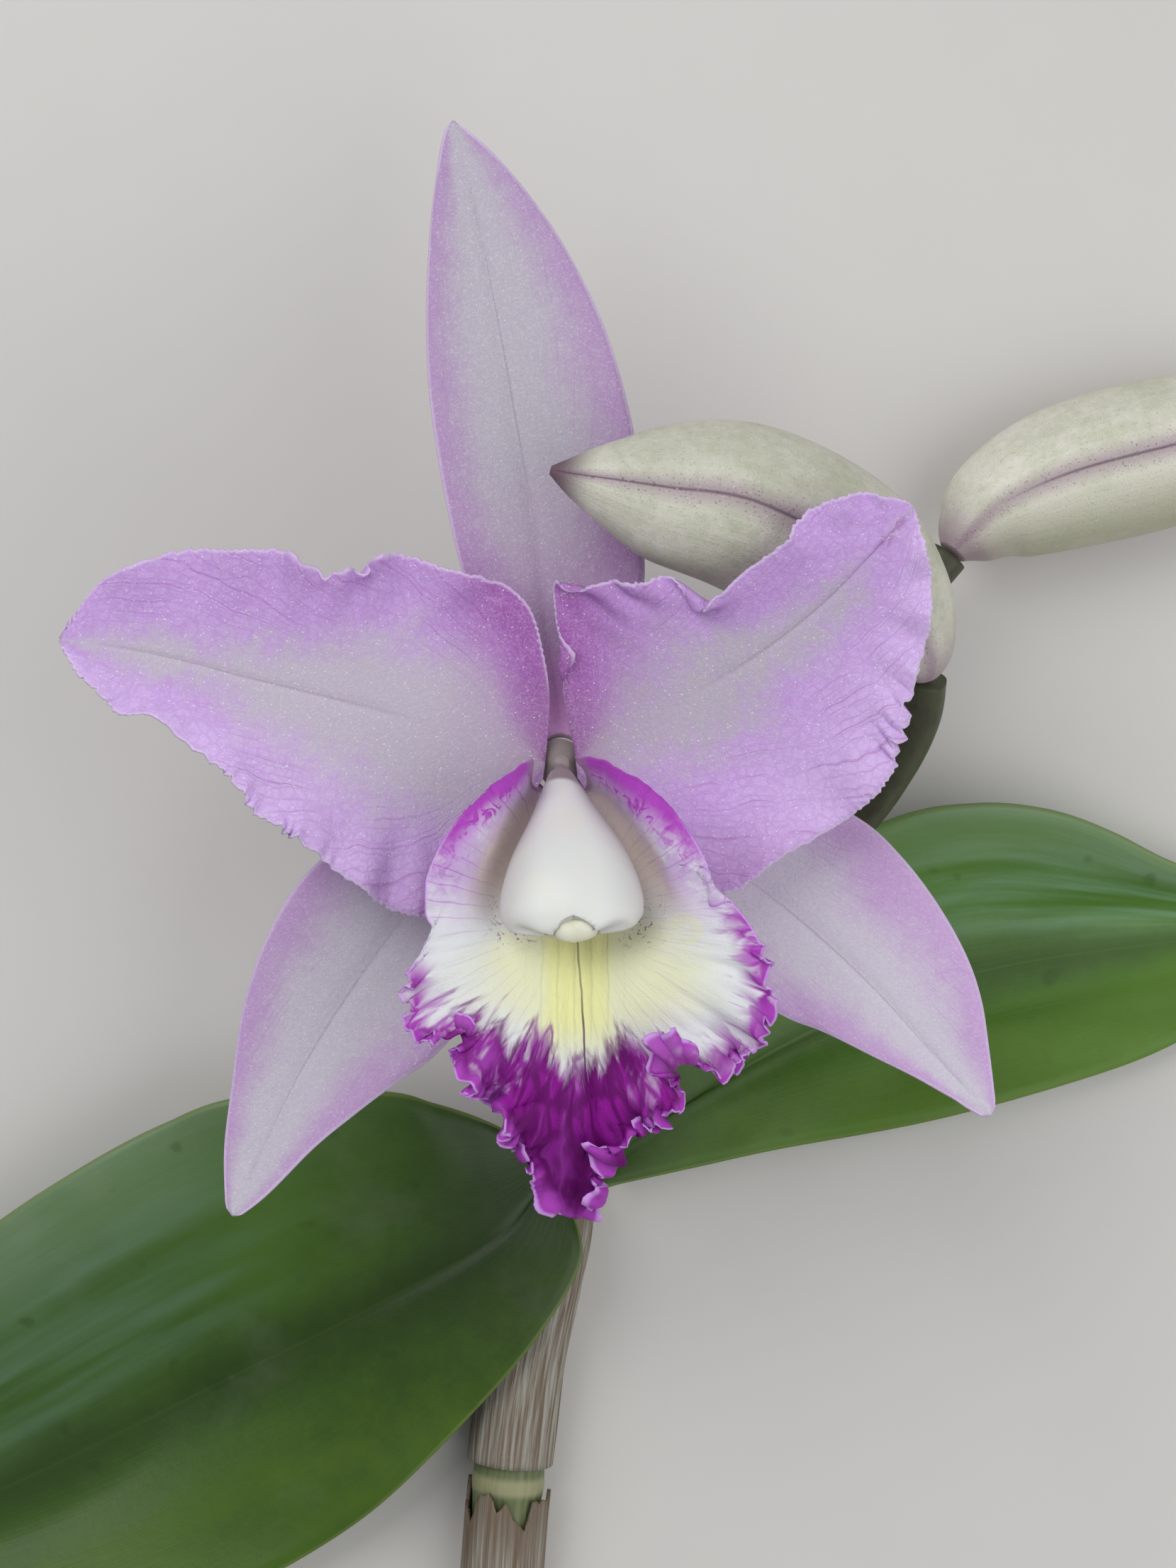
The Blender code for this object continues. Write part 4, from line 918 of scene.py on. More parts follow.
def lip_finish(name, settings):
    """White and yellow throat, magenta front lobe with feathered streaks, and a pale rim on every frill,
    painted as a highlight.
    """
    finish = Finish(name, Specular_IOR_Level=0.15)
    place = finish.place()
    turn, reach = finish.map("veins")
    across, length = finish.map("blade")
    margin = finish.map("rim")[0] * 10.0
    x, y = on_flower(place)
    side_way = x - LIP_MIDDLE
    off_middle = abs(side_way)
    shade = use(mottling(), Place=place, Scale=150.0)["Shade"]
    cells = use(petal_cells(), Place=place, Scale=PETAL_CELLS)
    streak = noise(point(turn * 34.0, reach * 2.6), 1.0, 4.0, 0.62, 0.6) - 0.5
    thin = noise(point(turn * 90.0, reach * 5.0, 3.0), 1.0, 3.0, 0.6, 0.8) - 0.5
    feather = streak * 15.0 + thin * 8.0
    net = band(cell_edges(point(turn * 60.0, reach * 6.5 + streak * 1.2), 1.0), 0.17, 0.03)

    # Yellow throat over white, strongest on the keels along the middle
    across_throat = (x - 4.0) / 18.5
    along_throat = (y + 31.8) / 9.2
    from_centre = across_throat * across_throat + along_throat * along_throat
    yellow = band(from_centre + (shade - 0.5) * 1.3, 1.2, 0.1)
    keel_zone = band(off_middle, 8.0, 2.6) * band(y, -22.0, -27.0) * band(y, -45.0, -37.0)
    yellow = largest(yellow * 0.5, keel_zone * 0.82)
    patch_x = (x - 16.6) / 2.8
    patch_y = (y + 25.6) / 2.4
    patch = band(patch_x * patch_x + patch_y * patch_y, 1.1, 0.6)
    yellow = largest(yellow, patch * band(shade, 0.25, 0.7) * 0.5)
    finish.colour = blend(yellow, settings.lip_white, settings.lip_yellow)
    crooked = (noise(place, 160.0, 2.0) - 0.5) * 0.9
    # Painted shade in the furrows between the keels, which also sink the relief
    keel_wave = abs(sine((side_way + 0.35 + crooked) * (math.pi / KEEL_STEP)))
    furrow_shade = band(keel_wave, 0.35, 0.0) * keel_zone * 0.22
    finish.cover(furrow_shade, (0.45, 0.41, 0.18))

    # Shaded beige inside the side lobes, and a lilac breath over them and towards every edge
    inside = band(margin, 6.0, 10.0) * band(y, -26.0, -18.0)
    finish.cover(inside * 0.9, (0.78, 0.65, 0.62))
    lobes = band(y, -29.0, -17.0) * band(margin, 16.0, 6.0)
    breath = lobes * band(shade, 0.3, 0.55)
    near_edge = band(margin, 6.5, 1.0) * (0.5 + thin)
    breath = largest(breath * 0.85, near_edge * 0.5)
    finish.cover(breath, (0.62, 0.42, 0.76))

    # Magenta from the front lobe back, and inwards from the free edge
    arch = band(off_middle, 5.0, 16.0) * -3.6 + band(side_way, 6.0, 15.0) * 6.0
    front = feather - y - arch - band(off_middle, 5.0, 1.6) * 3.6
    ahead = band(front, 36.8, 40.6) * net
    front = band(front, 38.2, 42.5)
    right_side = band(x, -2.0, 8.0)
    edge_in = margin - feather * 0.6
    width = (3.2 + right_side * 0.9) * (0.25 + band(y, -22.0, -28.0) * 0.75)
    sides = band(edge_in, width, width * 0.35) * (0.45 + band(thin, -0.1, 0.1) * 0.55)
    sides = largest(sides, band(margin, 6.5, 2.0) * net)
    radial = band(margin, 9.0, 3.0) * band(thin, 0.0, 0.1)
    sides = largest(sides, radial * (0.25 + right_side * 0.6))
    starts = y + (1.0 - right_side) * 8.0
    sides = sides * band(starts, -20.5, -24.5)
    cloud = (shade - 0.5) * 9.0
    upper = band(margin + cloud, 8.0, 4.0) * band(y + cloud * 1.5, -20.0, -11.0)
    spots = band(noise(place, 520.0, 2.0, 0.6, 1.2), 0.5, 0.6)
    clear = (1.0 - spots) * band(margin, 1.0, 4.5)
    upper = upper * (1.0 - clear * 0.55)
    spotted = band(margin, 9.0, 4.0) * spots * band(y, -24.0, -14.0)
    magenta = largest(front, ahead * 0.85, sides, upper, spotted * 0.7)
    turned_in = 0.0
    for side, at, *_ in LIP_CLEFTS:
        near = band(abs(length - (at + 0.01)), 0.05, 0.03) * band(across, 0.5, 0.5 + 0.1 * side)
        turned_in = largest(turned_in, near * band(edge_in, 9.0, 4.0))
    magenta = largest(magenta, turned_in * 0.95)
    windows = band(streak, 0.04, 0.14) * band(y, -54.0, -42.0) * (1.0 - net) * band(y, -22.0, -27.0)
    magenta = magenta * (1.0 - windows * 0.55)
    ray_dark = largest(band(thin, -0.1, 0.12), net)
    purple = blend(ray_dark * 0.85, settings.lip_magenta, settings.lip_dark)
    purple = blend(band(streak, 0.0, 0.12) * 0.4, purple, settings.lip_bright)
    purple = blend(band(y, -47.0, -56.0) * 0.42, purple, settings.lip_dark)
    edge_light = band(margin, 3.0, 0.8) * (0.8 + thin * 1.2)
    by_rim = band(margin, 9.0, 4.5) * band(y, -47.0, -39.0) * (1.0 - turned_in * 0.75)
    edge_light = largest(edge_light, by_rim * (0.75 + thin * 1.5), band(y, -24.0, -18.0) * 0.85, 0.0)
    purple = blend(edge_light, purple, settings.lip_bright)
    finish.cover(magenta, purple)
    # Painted shade: darker mauve at the lip's claw end
    finish.cover(band(length, 0.05, 0.02) * 0.8, (0.36, 0.22, 0.36))

    # Veins on the white, dots by the column's foot and the dark line down the middle
    vein = use(fan_veins(), Place=place, Position=turn, Count=52.0, Width=0.25, Wander=0.7)["Line"]
    veined = vein * band(reach, 0.16, 0.36) * (0.22 + lobes * 0.4)
    finish.cover(veined, settings.lip_bright)
    dots = band(noise(place, 1300.0, 1.0, 0.5, 0.9), 0.6, 0.66)
    by_foot = band(y, -29.0, -26.5) * band(y, -20.0, -23.0)
    by_foot = by_foot * band(off_middle, 4.5, 7.0) * band(off_middle, 13.0, 9.0)
    finish.cover(dots * by_foot * 0.8, settings.lip_magenta)
    off_line = abs(side_way + (y + 26.0) * 0.065 + crooked)
    line = band(off_line, 0.2, 0.06) * band(y, -24.0, -27.0) * band(y, -52.0, -45.0)
    line_colour = blend(band(y, -33.0, -39.0), (0.3, 0.27, 0.16), (0.07, 0.003, 0.07))
    finish.cover(line * 0.85, line_colour)
    # Painted highlight: a thin pale rim along the frills' edges
    rim = band(margin, 0.5, 0.15) * band(y, -9.0, -16.0)
    finish.cover(rim * 0.8, settings.lip_rim_highlight)
    height = cells["Height"] * 0.3 + (streak + thin) * 1.2 - furrow_shade * 3.0
    return finish.done(height, 0.4, 0.0004, roughness=0.5 - cells["Glint"] * 0.2)


def column_finish(name, colour, warm):
    """Waxy creamy skin, a little greener at the foot and warmer at the rim, with painted shade down its
    flanks.
    """
    finish = Finish(name, Roughness=0.38)
    place = finish.place()
    around, length = finish.map("round")
    shade = use(mottling(), Place=place, Scale=110.0)["Shade"]
    finish.colour = blend(band(shade, 0.35, 0.75), colour, warm)
    finish.cover(band(length, 0.3, 0.1) * 0.35, (0.62, 0.62, 0.42))
    x, y = on_flower(place, 0.4, -9.9)
    from_centre = calc("SQRT", x * x + y * y)
    neck = band(from_centre, 3.9, 4.5) * band(y, 1.4, 2.6)
    finish.cover(neck, STALK_TOP_COLOUR)
    # Painted shade down both flanks of the column and the cap
    flank_shade = band(abs(cosine(around * WHOLE_TURN)), 0.35, 1.0)
    finish.cover(flank_shade * 0.55, (0.50, 0.47, 0.46))
    grain = use(petal_cells(), Place=place, Scale=3200.0)["Height"]
    height = grain * 0.2 + noise(place, 500.0, 3.0)
    return finish.done(height, 0.2, 0.0003)


def bud_finish(name, green, tan, mauve, tip, shaded_side, shade_share):
    """Finely specked green and cream skin with painted shade on its lower side, mauve along the seams, and a
    dark tip.
    """
    finish = Finish(name, Roughness=0.5)
    place = finish.place()
    around, length = finish.map("round")
    shade = use(mottling(), Place=place, Scale=110.0)["Shade"]
    cells = use(petal_cells(), Place=place, Scale=3600.0)
    # Painted shade along one side of the bud, a little stronger towards its tip
    low = cosine(around * WHOLE_TURN) * shaded_side + (shade - 0.5) * 1.2
    finish.colour = blend(band(shade, 0.3, 0.7), green, tan)
    streaks = noise(point(around * 60.0, length * 3.0), 1.0, 3.0)
    finish.cover(band(streaks, 0.4, 0.75) * 0.3, tan)
    low = band(low, 0.1, 0.9) * (0.7 + band(length, 0.4, 0.85) * 0.4)
    finish.cover(low * shade_share, (0.30, 0.29, 0.17))
    seam = abs(sine((around - 0.25) * (BUD_SEAMS * math.pi)))
    flush = band(seam, 0.42, 0.03) * (0.3 + shade * 0.65)
    finish.cover(flush, mauve)
    crack = band(seam, 0.05, 0.0) * band(length, 0.2, 0.4)
    finish.cover(crack * 0.75, tip)
    foot = band(length, 0.22, 0.03) * 0.7
    finish.cover(foot, mauve)
    dark_end = length + (shade - 0.5) * 0.06
    finish.cover(band(dark_end, 0.8, 0.965) * 0.95, tip)
    specks = band(noise(place, 3100.0, 2.0), 0.6, 0.68)
    near_seam = 0.25 + band(seam, 0.5, 0.1) * 0.4
    finish.cover(specks * near_seam, tip)
    finish.cover(cells["Glint"] * 0.35, (0.9, 0.9, 0.85))
    height = cells["Height"] * 0.3 + streaks * 0.8 - crack * 2.0
    return finish.done(height, 0.35, 0.0004)


def leaf_finish(name, green, light, sheen, margin_colour):
    """Leather with painted shade along its furrow and at its foot, painted sheen over one half and along its
    upper margin, fine length veins and a thin pale margin.
    """
    finish = Finish(name, Coat_Weight=0.06, Coat_Roughness=0.35, Specular_IOR_Level=0.35)
    place = finish.place()
    across, length = finish.map("blade")
    _, margin = finish.map("veins")
    edge = abs(across * 2.0 - 1.0)
    shade = use(mottling(), Place=place, Scale=45.0)["Shade"]
    fibres = noise(point(across * 170.0, length * 4.0), 1.0, 3.0, 0.6)
    streaks = noise(point(across * 15.0, length * 3.2), 1.0, 3.0, 0.5)
    broad = noise(point(across * 2.2, length * 2.6), 1.0, 2.0)
    cloudy = shade - 0.5
    finish.colour = blend(band(broad, 0.35, 0.65) * 0.6, green, light)
    # Painted bluish sheen in streaks over one half of the leaf
    painted_sheen = band(across, 0.5, 0.3) * band(streaks, 0.3, 0.8) * band(length, 0.3, 0.65)
    finish.cover(painted_sheen, sheen)
    # Painted sheen along the upper margin
    upper_margin_sheen = band(across, 0.22, 0.02) * band(length, 0.2, 0.5)
    finish.cover(upper_margin_sheen * 0.6, (0.20, 0.30, 0.17))
    finish.cover(band(shade, 0.4, 0.7) * 0.15, light)
    finish.cover(band(fibres, 0.45, 0.7) * 0.15, light)
    dark = tinted(green, 0.38)
    lower_side = band(across, 0.58, 0.85) * band(shade, 0.3, 0.6)
    finish.cover(lower_side * 0.35, (0.09, 0.155, 0.004))
    # Painted shade along the furrow
    furrow_shade = band(edge + cloudy * 0.25, 0.34, 0.0)
    finish.cover(furrow_shade * 0.62, dark)
    # Painted shade: darker towards the foot of the leaf
    foot = length + edge * 0.1 + cloudy * 0.3
    finish.cover(band(foot, 0.5, 0.08) * 0.9, dark)
    finish.cover(band(edge, 0.014, 0.002) * 0.12, light)
    finish.cover(band(margin, 0.07, 0.015) * 0.5, margin_colour)
    spots = band(noise(place, 150.0, 1.0), 0.7, 0.78)
    finish.cover(spots * 0.35, dark)
    dust = band(noise(place, 60.0, 4.0), 0.5, 0.8)
    finish.cover(dust * 0.05, (0.5, 0.5, 0.45))
    height = fibres * 0.5 + noise(place, 700.0, 2.0) * 0.4
    return finish.done(height, 0.25, 0.0004, roughness=0.38 + dust * 0.25)


def stalk_finish(name, green, brown, pale):
    """Dark green stalk, brown in places and pale where it carries the flower."""
    finish = Finish(name, Roughness=0.5)
    place = finish.place()
    z = split(place)[2]
    shade = use(mottling(), Place=place, Scale=90.0)["Shade"]
    finish.colour = blend(band(shade, 0.4, 0.65), green, brown)
    finish.cover(band(z, 0.049, 0.0555), pale)
    return finish.done(noise(place, 800.0, 3.0), 0.3, 0.0003)


def paper_finish(name, pale, brown):
    """Dry papery sheath with fibres along it, stained darker towards its torn end."""
    finish = Finish(name, Roughness=0.75)
    place = finish.place()
    around, length = finish.map("blade")
    shade = use(mottling(), Place=place, Scale=100.0)["Shade"]
    fibres = noise(point(around * 70.0, length * 2.5), 1.0, 4.0, 0.65)
    finish.colour = blend(band(fibres, 0.35, 0.7), brown, pale)
    stain = band(length, 0.82, 1.0) * 0.7 + band(shade, 0.55, 0.75) * 0.5
    finish.cover(calc("MINIMUM", stain, 1.0), brown)
    return finish.done(fibres, 0.6, 0.0005)


def cane_finish(name, green, ring):
    """Furrowed green cane with pale rings at its joints."""
    finish = Finish(name, Roughness=0.5)
    place = finish.place()
    around, length = finish.map("round")
    fibres = noise(point(around * 50.0, length * 6.0), 1.0, 3.0)
    finish.colour = blend(band(fibres, 0.35, 0.7), green, tinted(green, 0.6))
    for joint in CANE_JOINTS:
        near = band(abs(length - joint), 0.012, 0.004)
        finish.cover(near * 0.7, ring)
    finish.cover(band(length, 0.006, 0.001) * 0.9, (0.42, 0.42, 0.24))
    return finish.done(fibres, 0.4, 0.0004)


def floor_finish(name, colour):
    finish = Finish(name, Roughness=0.9)
    shade = noise(finish.place(), 60.0, 3.0)
    finish.colour = blend(shade, colour, tinted(colour, 0.97))
    return finish.done()


def colour_setting(name, description, default):
    return FloatVectorProperty(
        name=name, description=description, subtype="COLOR", size=3, min=0, max=1, default=default)


def length_setting(name, description, default):
    return FloatProperty(
        name=name, description=description, default=default * MM, min=0, unit="LENGTH", precision=5)


def number_setting(name, description, default, least=0, unit="NONE"):
    return FloatProperty(name=name, description=description, default=default, min=least, unit=unit)


class FlowerSettings(bpy.types.PropertyGroup):
    """Colours, thicknesses and frills of the open flower"""
    petal_pale: colour_setting("Petal pale", "Middle of the petals", (0.56, 0.51, 0.59))
    petal_lilac: colour_setting("Petal lilac", "Margins of the petals", (0.62, 0.38, 0.80))
    petal_deep: colour_setting("Petal deep", "Veins and the flush by the claws", (0.33, 0.075, 0.37))
    sepal_pale: colour_setting("Sepal pale", "Middle of the sepals", (0.57, 0.53, 0.61))
    sepal_lilac: colour_setting("Sepal lilac", "Margins of the sepals", (0.52, 0.32, 0.60))
    lip_white: colour_setting("Lip white", "Ground colour of the lip", (0.80, 0.82, 0.83))
    lip_yellow: colour_setting("Lip yellow", "Throat of the lip", (0.90, 0.91, 0.34))
    lip_magenta: colour_setting("Lip magenta", "Front lobe of the lip", (0.31, 0.010, 0.325))
    lip_dark: colour_setting("Lip dark", "Streaks of the front lobe", (0.12, 0.002, 0.115))
    lip_bright: colour_setting("Lip bright", "Lighter magenta near the frills", (0.48, 0.07, 0.56))
    # Painted highlight along the frills' edges
    lip_rim_highlight: colour_setting("Lip rim", "Thin rim of the frills", (0.74, 0.42, 0.93))
    column_white: colour_setting("Column white", "Waxy column", (0.80, 0.82, 0.80))
    cap_cream: colour_setting("Cap cream", "Anther cap", (0.82, 0.82, 0.62))
    sepal_thick: length_setting("Sepal thickness", "Thickness of the sepals", 0.9)
    petal_thick: length_setting("Petal thickness", "Thickness of the petals", 0.8)
    lip_thick: length_setting("Lip thickness", "Thickness of the lip", 0.7)
    petal_frill: length_setting("Petal frill", "Height of the fine ruffles on the petals' margins", 0.65)
    lip_frill: length_setting("Lip frill", "Height of the fine ruffles on the lip's margin", 1.3)


class GrowthSettings(bpy.types.PropertyGroup):
    """Colours and thicknesses of the leaves, buds, stalks, cane and sheaths"""
    leaf_green: colour_setting("Leaf green", "Upper side of the leaves", (0.040, 0.098, 0.010))
    leaf_light: colour_setting("Leaf light", "Lighter patches of the leaves", (0.075, 0.16, 0.018))
    # Painted sheen: bluish streaks over one half of each leaf
    leaf_sheen: colour_setting("Leaf sheen", "Bluish bloom on one half of each leaf", (0.12, 0.215, 0.13))
    leaf_margin: colour_setting("Leaf margin", "Thin pale edge of the leaves", (0.20, 0.27, 0.07))
    bud_green: colour_setting("Bud green", "Green of the buds", (0.46, 0.48, 0.35))
    bud_tan: colour_setting("Bud tan", "Paler skin of the buds", (0.66, 0.64, 0.56))
    bud_mauve: colour_setting("Bud mauve", "Flush along the seams", (0.38, 0.25, 0.34))
    bud_tip: colour_setting("Bud tip", "Dark tip, seams and specks", (0.12, 0.055, 0.095))
    stalk_green: colour_setting("Stalk green", "Flower stalks", (0.055, 0.065, 0.028))
    stalk_brown: colour_setting("Stalk brown", "Brown places of the stalks", (0.045, 0.035, 0.022))
    cane_green: colour_setting("Cane green", "Bare cane", (0.16, 0.20, 0.08))
    sheath_pale: colour_setting("Sheath pale", "Dry sheaths of the cane", (0.42, 0.42, 0.37))
    sheath_brown: colour_setting("Sheath brown", "Stains of the dry sheaths", (0.16, 0.11, 0.07))
    # Painted light: the right leaf's colours are lighter copies of the left leaf's
    right_leaf_painted_light: number_setting(
        "Right leaf tone", "How much lighter the right leaf is than the left", 1.9, least=0.1)
    leaf_thick: length_setting("Leaf thickness", "Thickness of the leaves", 1.6)
    sheath_thick: length_setting("Sheath thickness", "Thickness of the dry sheaths", 0.6)


class StageSettings(bpy.types.PropertyGroup):
    """Floor, lights and camera"""
    floor_colour: colour_setting("Floor", "Plain floor", (0.72, 0.70, 0.67))
    key_power: number_setting("Main light", "Power of the large soft light", 2.05, unit="POWER")
    fill_power: number_setting("Fill light", "Power of the fill light", 2.1, unit="POWER")
    sky: number_setting("Surroundings", "Strength of the even light from all round", 0.275)
    lens: number_setting("Lens", "Focal length", 66.7, least=1, unit="CAMERA")


class ORCHID_OT_sepals(bpy.types.Operator):
    """Build the three smooth outer blades of the open flower"""
    bl_idname = "orchid.sepals"
    bl_label = "Sepals"

    def execute(self, context):
        settings = context.scene.orchid_flower
        # Each sepal's tone makes lighter or darker copies of the same colours: painted light and shade,
        # lightest on the right sepal and darkest on the dorsal one
        for node, lines, tone in (
            ("dorsal_sepal", DORSAL_SEPAL, 0.92),
            ("left_sepal", LEFT_SEPAL, 1.04),
            ("right_sepal", RIGHT_SEPAL, 1.2),
        ):
            pale = tinted(settings.sepal_pale, tone)
            lilac = tinted(settings.sepal_lilac, tone)
            finish = petal_finish(node + " skin", pale, lilac, settings.petal_deep, 0.22, 0.5, is_sepal=True)
            blade = Blade(lines, 32, 80)
            if node == "dorsal_sepal":
                # Its claw starts up to 2.1 mm nearer to the column than in the part
                blade.points[..., 1] -= (0.97 + 1.1 * blade.edge**2) * smooth(1 - blade.v / 0.06)
            blade.draw_to_point(0.975)
            blade.add_pleats(7, 0.16, slant=0.1, inner=0.25)
            blade.add_midrib(0.35)
            thick = settings.sepal_thick / MM
            finish_blade(node + "_smooth", blade, blade.maps(), finish, node, thick, 1.6)
        return {"FINISHED"}


class ORCHID_OT_petals(bpy.types.Operator):
    """Build the two broad ruffled petals"""
    bl_idname = "orchid.petals"
    bl_label = "Petals"

    def execute(self, context):
        settings = context.scene.orchid_flower
        frill = settings.petal_frill / MM
        for node, lines, waves, folds, scallops, spread, tone in (
            ("left_petal", LEFT_PETAL, LEFT_PETAL_WAVES, LEFT_PETAL_FOLDS, LEFT_SCALLOPS, 0.0, 1.0),
            ("right_petal", RIGHT_PETAL, RIGHT_PETAL_WAVES, RIGHT_PETAL_FOLDS, RIGHT_SCALLOPS, 0.2, 0.93),
        ):
            pale = tinted(settings.petal_pale, tone)
            finish = petal_finish(
                node + " skin", pale, settings.petal_lilac, settings.petal_deep, 0.55, 0.55, spread=spread)
            blade = Blade(lines, 56, 380)
            blade.draw_to_point(0.99)
            maps = blade.maps()
            blade.add_waves(waves, 0.4)
            blade.add_folds(folds, 5)
            blade.add_frill(3.4, 0.25 * frill, 3, 0.22, 0.95, waves["seed"], 0.8)
            length, height, depth, start, end, lean = scallops
            blade.add_frill(length, height * frill, depth, start, end, waves["seed"], lean, only=1)
            blade.add_pleats(9, 0.1, slant=-0.25)
            blade.add_teeth(0.13)
            blade.add_midrib(0.3, 0.03, start=0.35)
            thick = settings.petal_thick / MM
            finish_blade(node + "_ruffled", blade, maps, finish, node, thick, 2.0)
        return {"FINISHED"}


class ORCHID_OT_lip(bpy.types.Operator):
    """Build the lip, whose side lobes stand round the column and whose front lobe is frilled"""
    bl_idname = "orchid.lip"
    bl_label = "Lip"

    def execute(self, context):
        settings = context.scene.orchid_flower
        frill = settings.lip_frill / MM
        blade = Blade(LIP, 84, 480, dense=[cleft[1] for cleft in LIP_CLEFTS])
        x = blade.points[..., 0].copy()
        ahead = -blade.points[..., 1]
        margin = blade.margin.copy()
        turn = np.arctan2(x - LIP_THROAT[0], ahead + LIP_THROAT[1]) / WHOLE_TURN
        reach = np.hypot(x - LIP_THROAT[0], ahead + LIP_THROAT[1]) / 40
        blade.add_waves(LIP_WAVES)
        blade.add_folds(LIP_CLEFTS, 13.5, cleft=True)
        blade.measure()
        blade.add_folds(LIP_FOLDS)
        blade.measure()
        blade.add_frill(4.3, frill, 5, 0.46, 0.99, 1.0, 0.75)
        blade.measure()
        blade.add_frill(2.1, 0.25 * frill, 2.4, 0.44, 0.99, 2.0, 0.6)
        blade.add_teeth(0.05, 1.0, 0.05)
        pleats = np.sin(WHOLE_TURN * (26 * turn + 0.5 * np.sin(9 * reach)))
        pleats = pleats + 0.5 * np.sin(WHOLE_TURN * 61 * turn)
        blade.push(blade.up, 0.15 * pleats * smooth((reach - 0.3) / 0.25))
        keels = np.maximum(np.cos((x - LIP_MIDDLE) * WHOLE_TURN / KEEL_STEP), 0)
        zone = smooth((5.2 - np.abs(x - LIP_MIDDLE)) / 2) * between(ahead, 15, 50, 8, 8)
        blade.push(blade.up, 0.45 * keels * zone)
        thick = settings.lip_thick / MM
        maps = {
            "blade": (blade.u, blade.v),
            "veins": (turn, reach),
            "rim": (margin / 10, np.zeros_like(margin)),
        }
        finish_blade("lip_frilled", blade, maps, lip_finish("lip skin", settings), "lip", thick, 1.8)
        return {"FINISHED"}


def column_section(shares, angle):
    """Half width and depth of the column, with a ridge along its back and a narrow neck."""
    depth = np.where(np.sin(angle) > 0, size_along(COLUMN_BACK, shares), size_along(COLUMN_FRONT, shares))
    depth = depth * (1 - 0.45 * smooth((shares - 0.86) / 0.1) * np.cos(angle) ** 2)
    ridge = 1 + 0.05 * hump(angle - math.pi / 2, 0.35) * smooth((shares - 0.3) / 0.3)
    neck = 1 - 0.4 * smooth((0.16 - shares) / 0.08)
    return size_along(COLUMN_WIDTH, shares) * neck, depth * ridge * neck


def column_scallops(shares, angle):
    """Small lobes round the column's tip."""
    towards_tip = unit(np.array(COLUMN_AXIS[-1]) - np.array(COLUMN_AXIS[-3]))
    return towards_tip * (0.4 * np.sin(7 * angle + 0.6) * smooth((shares - 0.84) / 0.1))[:, None]


def cap_section(shares, angle, room=0.0):
    """Half width and depth of the anther cap, lobed and grooved, with room round it for the hollow."""
    groove = 1 - 0.22 * hump(angle - math.pi / 2, 0.3)
    lobes = 1 + 0.1 * np.cos(5 * angle + 0.6) + 0.05 * np.cos(9 * angle)
    width = 1.08 * size_along(CAP_WIDTH, shares) + room
    depth = size_along(CAP_DEPTH, shares) + room
    return width * lobes, depth * groove


def window_section(shares, angle):
    """Half width and depth of the ragged opening through which the cap is seen."""
    wave = 1 + 0.13 * np.sin(5 * angle + 1) + 0.08 * np.sin(11 * angle)
    return (size_along(CAP_WIDTH, shares) - 0.2) * wave, (size_along(CAP_DEPTH, shares) + 0.9) * wave


class ORCHID_OT_column(bpy.types.Operator):
    """Build the waxy column and the anther cap in its tip"""
    bl_idname = "orchid.column"
    bl_label = "Column and anther cap"

    def execute(self, context):
        settings = context.scene.orchid_flower
        white = column_finish("column skin", settings.column_white, (0.84, 0.83, 0.74))
        bm = round_body(COLUMN_AXIS, column_section, sides=80, rings=72, shift=column_scallops)
        column = finish_piece("column_waxy", bm, white, "column")
        cream = column_finish("cap skin", settings.cap_cream, (0.86, 0.86, 0.74))
        cap_axis = np.array(CAP_AXIS) + CAP_SHIFT
        cutters = []
        for name, axis, section in (
            ("cap_room", cap_axis, partial(cap_section, room=CAP_ROOM)),
            ("cap_window", cap_axis + CAP_WINDOW_SHIFT, window_section),
        ):
            bm = round_body(axis, section, sides=56, rings=32)
            cutters.append(finish_piece(name, bm, cream, "anther_cap"))
        combine(column, cutters, "DIFFERENCE")
        bm = round_body(cap_axis, cap_section, sides=48, rings=32)
        finish_piece("anther_cap_lobed", bm, cream, "anther_cap")
        return {"FINISHED"}


class ORCHID_OT_buds(bpy.types.Operator):
    """Build the two closed buds with their seams"""
    bl_idname = "orchid.buds"
    bl_label = "Buds"

    def execute(self, context):
        settings = context.scene.orchid_growth
        # The fourth and fifth numbers set which side of each bud gets painted shade, and how much
        for node, axis, radii, shaded_side, shade_share, tone in (
            ("front_bud", FRONT_BUD_AXIS, FRONT_BUD_RADIUS, -1, 0.04, 1.08),
            ("rear_bud", REAR_BUD_AXIS, REAR_BUD_RADIUS, 1, 0.75, 1.27),
        ):
            green = tinted(settings.bud_green, tone)
            tan = tinted(settings.bud_tan, tone)
            finish = bud_finish(
                node + " skin", green, tan, settings.bud_mauve, settings.bud_tip, shaded_side, shade_share)

            def section(shares, angle):
                away = np.abs(np.sin(BUD_SEAMS * (angle - math.pi / 2) / 2))
                seam = 1 - 0.03 * (1 - away) ** 2 - 0.035 * hump(away, 0.06) * smooth((shares - 0.1) / 0.2)
                ribs = 1 + 0.004 * np.sin(9 * angle + 4 * shares)
                radius = size_along(radii, shares) * seam * ribs
                return radius, radius

            bm = round_body(axis, section, sides=120, rings=72, flat_ends=True, lowest=0)
            finish_piece(node + "_seamed", bm, finish, node)
        return {"FINISHED"}


